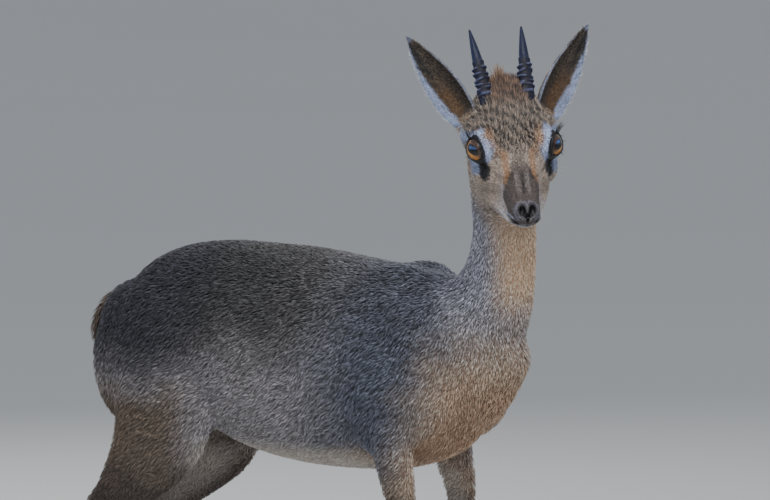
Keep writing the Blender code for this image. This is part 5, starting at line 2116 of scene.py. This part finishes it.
def plain_floor():
    """A wide round floor just under the hooves."""
    form = bmesh.new()
    bmesh.ops.create_circle(form, cap_ends=True, radius=FLOOR_RADIUS, segments=96)
    made = mesh_object("floor", form)
    pale, nodes, links, shader = new_material("floor_pale")
    shader.inputs["Roughness"].default_value = 0.9
    soft = noise(nodes, links, 0.7, 2.0)
    tone = mix(nodes, links, "MIX", soft, (0.58, 0.575, 0.56, 1), (0.62, 0.615, 0.60, 1))
    links.new(tone, shader.inputs["Base Color"])
    made.data.materials.append(pale)
    return made


def soft_light(name, place, size, power, target, colour=(1, 1, 1), height=None):
    """A large light, square unless a height is given, that points at a place."""
    lamp = bpy.data.lights.new(name, "AREA")
    lamp.shape = "RECTANGLE"
    lamp.size = size
    lamp.size_y = height or size
    lamp.energy = power
    lamp.color = colour
    made = bpy.data.objects.new(name, lamp)
    made.location = place
    made.rotation_mode = "QUATERNION"
    made.rotation_quaternion = (Vector(target) - Vector(place)).to_track_quat("-Z", "Y")
    bpy.context.collection.objects.link(made)
    return made


floor = plain_floor()
CENTRE = (0.0, 0.0, 0.27)
soft_light("sky_light", (0.7, -0.9, 1.9), 1.6, 34, CENTRE, (1.0, 0.99, 0.97))
soft_light("front_light", (1.6, -1.3, 0.8), 1.2, 9, CENTRE, (0.97, 0.98, 1.0))
soft_light("rear_light", (-1.6, 1.2, 1.3), 1.4, 14, CENTRE)
EYE_LEVEL = (0.185, -0.025, 0.467)
BLUE_SKY = (0.14, 0.34, 1.0)
windows = [
    soft_light("window_right", (-0.80, -1.29, 0.76), 2.4, 15, EYE_LEVEL, BLUE_SKY, 0.50),
    soft_light("window_front", (1.29, 1.08, 0.90), 1.3, 8, EYE_LEVEL, BLUE_SKY, 0.42),
]
shiny = bpy.data.collections.new("shiny")
for one in bpy.data.objects:
    if one.name.startswith(("eyeball", "horn_")):
        shiny.objects.link(one)
for window in windows:
    window.light_linking.receiver_collection = shiny
world = bpy.data.worlds.new("world")
world.use_nodes = True
world.node_tree.nodes["Background"].inputs["Color"].default_value = (0.80, 0.86, 0.95, 1)
world.node_tree.nodes["Background"].inputs["Strength"].default_value = 0.55
bpy.context.scene.world = world

# %% Camera
PIXELS_PER_METRE = 1450.0
DISTANCE = 8.0
AZIMUTH = math.radians(40)
ELEVATION = math.radians(5)
PICTURE = (770, 500)
WITHERS = Vector((0.0713, 0.0058, 0.375))
WITHERS_IN_PICTURE = (412, 262)

right = Vector((math.cos(AZIMUTH), math.sin(AZIMUTH), 0))
back = Vector((math.sin(AZIMUTH) * math.cos(ELEVATION), -math.cos(AZIMUTH) * math.cos(ELEVATION), math.sin(ELEVATION)))
up = back.cross(right)
target = WITHERS - right * (WITHERS_IN_PICTURE[0] - PICTURE[0] / 2) / PIXELS_PER_METRE
target = target + up * (WITHERS_IN_PICTURE[1] - PICTURE[1] / 2) / PIXELS_PER_METRE
lens = bpy.data.cameras.new("camera")
lens.sensor_width = 36
lens.lens = PIXELS_PER_METRE * DISTANCE * lens.sensor_width / PICTURE[0]
lens.clip_start = 0.1
lens.clip_end = 300
camera = bpy.data.objects.new("camera", lens)
camera.location = target + back * DISTANCE
camera.rotation_mode = "QUATERNION"
camera.rotation_quaternion = back.to_track_quat("Z", "Y")
bpy.context.collection.objects.link(camera)
bpy.context.scene.camera = camera
print("lens:", round(lens.lens), "mm")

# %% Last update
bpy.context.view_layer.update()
told("done")
